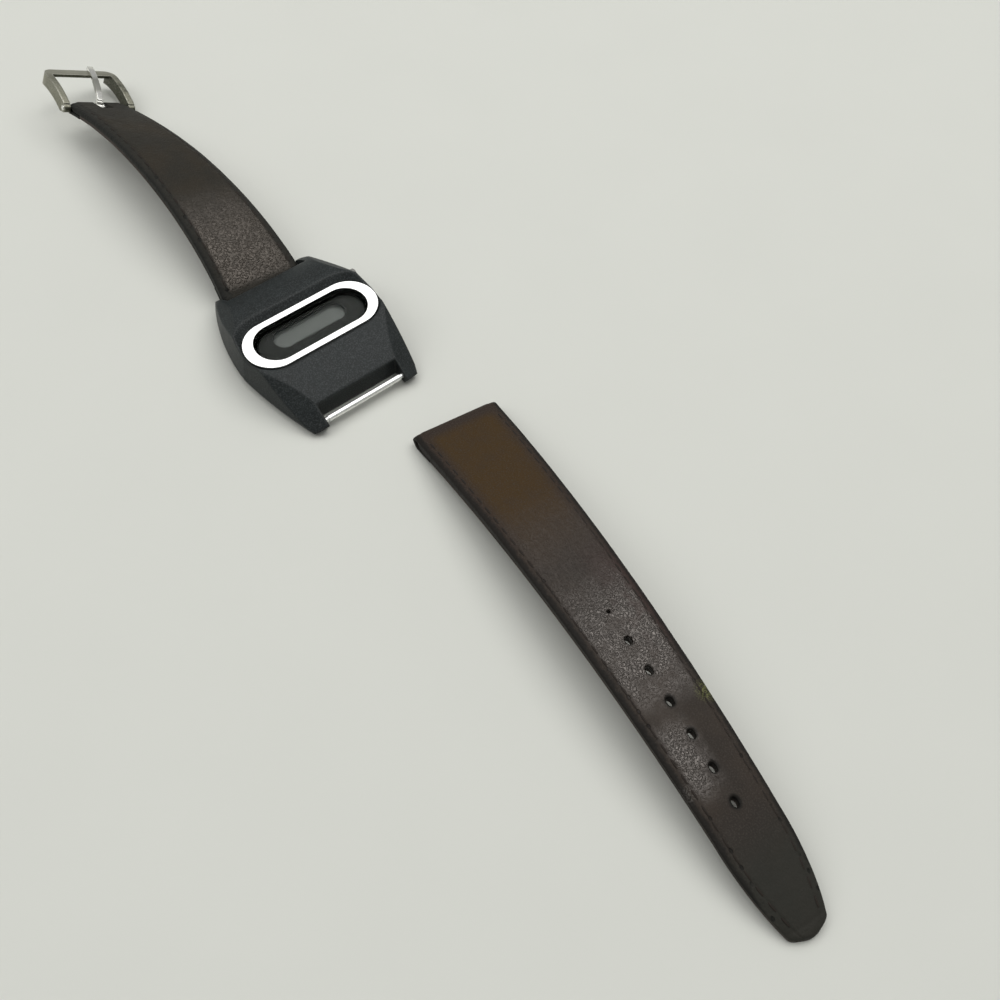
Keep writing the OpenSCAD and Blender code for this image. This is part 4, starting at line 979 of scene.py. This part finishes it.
def nearest_hole(reach, side):
    """The reach of the nearest hole, and the distance from it as a share of its rim."""
    hole = min(hole_reach, key=lambda centre: abs(reach - centre))
    long, wide = closed_hole if hole == first_hole else open_hole
    return hole, math.hypot((reach - hole) / long, side / wide)


def out_to_rim(reach, side):
    """A point just inside a hole moves out to its rim."""
    hole, away = nearest_hole(reach, side)
    if rim_share < away < 1:
        return hole + (reach - hole) / away, side / away
    return reach, side


def tail_flat(reach, share, inset=0.0):
    """Reach and side of a point on the strap's own plan, with the tip's curve and the holes."""
    side = share * (tail_half_width(reach) - inset)
    return out_to_rim(reach - tail_tip_shift(reach, share), side)


def swell(value, height, centre, width):
    """A smooth rise to height at centre that falls off over about width."""
    return height * math.exp(-(((value - centre) / width) ** 2))


def tail_leather_place(row, share, inner):
    cut_reach, height = tail_path(row)[inner]
    reach, side = tail_flat(cut_reach, share)
    if not inner and row > tail_fold_rows + tail_loop_rows / 2:
        from_tip = max(tail_reach - cut_reach, 0)
        height -= edge_drop(max(tail_half_width(cut_reach) - abs(side), 0), *tail_paring)
        height -= edge_drop(from_tip, *tip_paring) if from_tip < tip_paring[0] else 0
        height -= swell(from_tip, *tip_groove)
        height += tail_unevenness * noise.noise(Vector((reach * 0.13, side * 0.12, 7.0)))
        away = nearest_hole(reach, side)[1]
        height += swell(away, *hole_lip) - swell(away, *hole_sink)
    return tail_place(reach, side, height)


def tail_chart(row, share, inner):
    return hide_chart(*tail_flat(tail_path(row)[inner][0], share))


tail_edge_steps = [-1, -0.99, -0.97, -0.94, -0.9, -0.86, -0.825, -0.79, -0.75]
tail_steps = tail_edge_steps + [i / 30 for i in range(-21, 22)] + [-s for s in reversed(tail_edge_steps)]


def unpunched(reach, column):
    """Whether a cell of a tail piece lies outside every hole."""
    share = (tail_steps[int(column)] + tail_steps[int(column) + 1]) / 2
    return nearest_hole(reach, share * tail_half_width(reach))[1] > punched_share


def tail_kept(row, column):
    return unpunched(tail_path(row)[0][0], column)


tail_leather = leather_piece(
    "tail_leather", tail_rows, tail_steps, tail_leather_place, tail_chart, tail_kept
)
tail_taper = 0.0297
tail_stitch_start = 5.5
tail_stitch_pitch = 3.0
tail_calf = Finish("rubbed_brown_calf", chart="hide", IOR=1.45, Specular_IOR_Level=0.12)
reach, aside = on_chart(tail_calf)
from_edge = tail_half_start - tail_taper * reach - aside.math("ABSOLUTE")
pores = tail_calf.grain(0.003, detail=3.0)
oily = tail_calf.grain(0.03, detail=4.0)
patch = tail_calf.grain(0.09, detail=4.0)
crease = tail_calf.grain(0.013, detail=3.0, rough=0.6, place=tail_calf.stretched((0.35, 1.0, 1.0)))
crease = (crease - 0.5).math("ABSOLUTE").between(0.06, 0.0)
pebbles = pebbled(tail_calf, curl_count=200.0, curl=0.009, stretch=(0.82, 1.0, 1.0), count=122.0)

flexed = reach.between(46.0, 60.0) * reach.between(80.0, 68.0)
flexed = flexed + reach.between(78.0, 85.0) * reach.between(96.0, 89.0) * aside.between(2.0, -3.0)
flexed = flexed * from_edge.between(1.2, 2.6) * (0.35 + 0.65 * oily.between(0.36, 0.56))
lined = reach.between(26.0, 38.0) * reach.between(62.0, 50.0) * from_edge.between(1.0, 2.4)
rubbed = reach.between(46.0, 24.0) * from_edge.between(0.8, 4.0) * reach.between(2.0, 5.0)
reddened = reach.between(40.0, 50.0) * reach.between(74.0, 62.0) * aside.between(-1.0, 5.0)
prick = pricked(reach, from_edge, tail_stitch_start, tail_stitch_pitch, long=0.26, wide=0.09, rim=0.4)
seam_shows = 0.15 + 0.85 * tail_calf.grain(0.06, detail=1.0).between(0.42, 0.6)
prick = 0.75 * prick * seam_shows * reach.between(30.0, 50.0)
hole_number = (reach - first_hole) / hole_pitch
whole_number = (hole_number + 0.5).math("FLOOR").math("MAXIMUM", 1.0).math("MINIMUM", hole_count - 1)
off_hole = (hole_number - whole_number) * hole_pitch
from_hole = (off_hole * off_hole + aside * aside * 1.4).math("SQRT")
green_spot = tail_calf.from_spot((0.885, 0.568, 0.0)).between(0.028, 0.004)
scuff = tail_calf.from_spot((1.02, 0.44, 0.0)).between(0.022, 0.004)

hide = tail_calf.mixed(patch.between(0.35, 0.7), (0.030, 0.0245, 0.0205), (0.040, 0.031, 0.0245))
hide = tail_calf.mixed(reach.between(50.0, 30.0) * 0.7, hide, (0.033, 0.022, 0.0165))
bare = rubbed * (0.75 + 0.25 * oily.between(0.3, 0.6))
hide = tail_calf.mixed(bare, hide, (0.050, 0.0285, 0.0095))
hide = tail_calf.mixed(reddened * 0.6, hide, (0.042, 0.023, 0.021))
hide = tail_calf.mixed(pores.between(0.45, 0.7) * 0.5, hide, (0.062, 0.053, 0.044))
# A painted highlight lightens the crease ridges in the lined stretch.
hide = tail_calf.mixed(lined * crease * 0.15, hide, (0.11, 0.092, 0.08))
# Painted shade darkens the valleys between the pebbles where the strap is flexed.
hide = tail_calf.mixed(flexed * pebbles.between(0.35, 0.0) * 0.7, hide, (0.010, 0.009, 0.008))
hide = tail_calf.mixed(reach.between(98.0, 110.0) * 0.8, hide, (0.026, 0.0265, 0.022))
blackened_edge = ragged(tail_calf, from_edge, swing=1.6).between(1.3, 0.5)
hide = tail_calf.mixed(blackened_edge * 0.8, hide, (0.011, 0.0105, 0.0095))
hide = tail_calf.mixed(prick * 0.85, hide, (0.004, 0.004, 0.004))
hide = tail_calf.mixed(from_hole.between(1.7, 1.0) * 0.85, hide, (0.007, 0.007, 0.006))
hide = tail_calf.mixed(green_spot * pores.between(0.42, 0.62) * 0.85, hide, (0.15, 0.155, 0.06))
hide = tail_calf.mixed(scuff * pores.between(0.45, 0.65) * 0.7, hide, (0.12, 0.11, 0.10))
wrinkles = (0.12 + 0.88 * flexed + 0.3 * lined) * pebbles + 0.3 * lined * crease
skin = tail_calf.relief(
    wrinkles + 0.08 * pores - 1.0 * prick + frayed_edge(tail_calf, from_edge),
    0.2 * MM, 1.0, tail_calf.relief(oily, 0.5 * MM, 0.5),
)
tail_calf.set(
    Base_Color=hide,
    Roughness=0.52 + 0.16 * oily - 0.22 * flexed - 0.1 * lined * crease,
    Normal=skin,
)
shiny = (flexed + 0.12 * lined).math("MINIMUM", 1.0)
polished(
    tail_calf, shiny, tint=(0.020, 0.016, 0.013), roughness=0.24, index=1.88,
    shine=(1.0, 0.92, 0.86), normal=skin,
)
tail_leather.data.materials.append(tail_calf.material)
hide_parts("tail_strap_top")
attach(tail_leather, "tail_strap")


# The tail strap's lining runs from its fold to the tip and is pierced with the same seven holes.
# Both rows of its stitches follow the edges, sunk in the groove as on the other strap.
tail_lining_start = 7.0
tail_lining_rows = 420
tail_lining_gap = 0.03
tail_stitch_length = 2.1
tail_stitch_end = 2.6


def tail_lining_reach(row):
    return tail_lining_start + (tail_reach - tail_lining_start) * row / tail_lining_rows


def tail_lining_place(row, share, inner):
    cut_reach = tail_lining_reach(row)
    reach, side = tail_flat(cut_reach, share, lining_inset)
    under, seam, _ = tail_faces(cut_reach)
    inset = max(tail_half_width(cut_reach) - abs(side), 0)
    height = seam - tail_lining_gap if inner else under + rounded(inset, arris)
    return tail_place(reach, side, height)


def tail_lining_chart(row, share, inner):
    return hide_chart(*tail_flat(tail_lining_reach(row), share, lining_inset))


def tail_lining_kept(row, column):
    return unpunched(tail_lining_reach(row), column)


def tail_outward(reach):
    return Vector((0, 0, 1))


def tail_seam(reach, side):
    height = tail_faces(reach)[2] - edge_drop(groove_inset, *tail_paring) + stitch_proud
    return tail_place(reach, side * (tail_half_width(reach) - groove_inset), height)


tail_lining = leather_piece(
    "tail_lining", tail_lining_rows, tail_steps, tail_lining_place, tail_lining_chart, tail_lining_kept
)
tail_lining.data.materials.append(split.material)
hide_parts("tail_strap_lining")
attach(tail_lining, "tail_strap")

tail_stitches = stitch_spots(
    tail_stitch_start, tail_reach - tail_stitch_end, tail_stitch_pitch, tail_seam, tail_outward
)
tail_thread = sewn_row("tail_thread", tail_stitches, tail_stitch_length)
tail_thread.data.materials.append(thread.material)
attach(tail_thread, "tail_strap")


# The watch lies on a pale painted table in broad, soft light: a window lamp from above on the right,
# a pale wall on the left and a pale ceiling. The camera stands where the photograph was taken from,
# found from the outlines of the ring, the bare bar and the lugs in it.
table_half = 3.0
bm = bmesh.new()
bmesh.ops.create_grid(bm, x_segments=8, y_segments=8, size=table_half)
table = linked("table", bm)
paint = Finish("pale_table", Specular_IOR_Level=0.1)
tooth = paint.grain(0.03, detail=2.0)
paint.set(
    Base_Color=paint.mixed(tooth, (0.655, 0.662, 0.615), (0.675, 0.682, 0.634)),
    Roughness=0.9 + 0.02 * tooth,
)
table.data.materials.append(paint.material)


def panel_lamp(name, place, aim, size, power, colour=(1, 1, 1)):
    """A glowing panel at a place, turned to face aim."""
    lamp = bpy.data.lights.new(name, "AREA")
    lamp.shape = "RECTANGLE"
    lamp.size, lamp.size_y = size
    lamp.energy = power
    lamp.color = colour
    lamp_object = bpy.data.objects.new(name, lamp)
    bpy.context.scene.collection.objects.link(lamp_object)
    lamp_object.location = place
    lamp_object.rotation_euler = (Vector(aim) - Vector(place)).to_track_quat("-Z", "Y").to_euler()


daylight = (1.0, 0.995, 0.98)
panel_lamp("window_lamp", (0.62, -0.3, 1.3), aim=(0, 0, 0), size=(1.1, 1.1), power=5.6, colour=daylight)
panel_lamp("wall_panel", (-0.9, 0.6, 1.1), aim=(0, 0, 0), size=(1.0, 1.0), power=6.0)
panel_lamp("ceiling_panel", (0.5, 0.45, 1.3), aim=(0.5, 0.45, 0), size=(1.9, 1.7), power=13.6)

room_colour = (0.80, 0.81, 0.80, 1)
room_light = 0.3
room_seen = 0.5
room = bpy.data.worlds.new("room")
bpy.context.scene.world = room
room.use_nodes = True
units, links = room.node_tree.nodes, room.node_tree.links
backdrop = units["Background"]
backdrop.inputs["Color"].default_value = room_colour
ray = units.new("ShaderNodeLightPath")
mirrored = units.new("ShaderNodeMath")
shown = units.new("ShaderNodeMath")
strength = units.new("ShaderNodeMapRange")
mirrored.operation = shown.operation = "MAXIMUM"
links.new(ray.outputs["Is Camera Ray"], mirrored.inputs[0])
links.new(ray.outputs["Is Glossy Ray"], mirrored.inputs[1])
links.new(mirrored.outputs[0], shown.inputs[0])
links.new(ray.outputs["Is Transmission Ray"], shown.inputs[1])
links.new(shown.outputs[0], strength.inputs["Value"])
strength.inputs["To Min"].default_value = room_light
strength.inputs["To Max"].default_value = room_seen
links.new(strength.outputs["Result"], backdrop.inputs["Strength"])

film_width = 36.0
picture_angle = 48  # from the left edge of the picture to the right, in degrees
camera_data = bpy.data.cameras.new("camera")
camera_data.sensor_fit = "HORIZONTAL"
camera_data.sensor_width = film_width
camera_data.lens = film_width / (2 * math.tan(math.radians(picture_angle / 2)))
camera_data.clip_start = 0.01
camera_data.clip_end = 20
camera = bpy.data.objects.new("camera", camera_data)
bpy.context.scene.collection.objects.link(camera)
stand = Vector((-0.07742326, -0.14816155, 0.19322805))
right = Vector((0.77410072, -0.63174488, 0.04082251))
down = Vector((-0.51429507, -0.66516606, -0.54134527))
ahead = Vector((0.36914585, 0.39806095, -0.8398088))
facing = Matrix((right, -down, -ahead)).transposed().to_4x4()
camera.matrix_world = Matrix.Translation(stand) @ facing
bpy.context.scene.camera = camera
bpy.context.scene.view_settings.view_transform = "Standard"
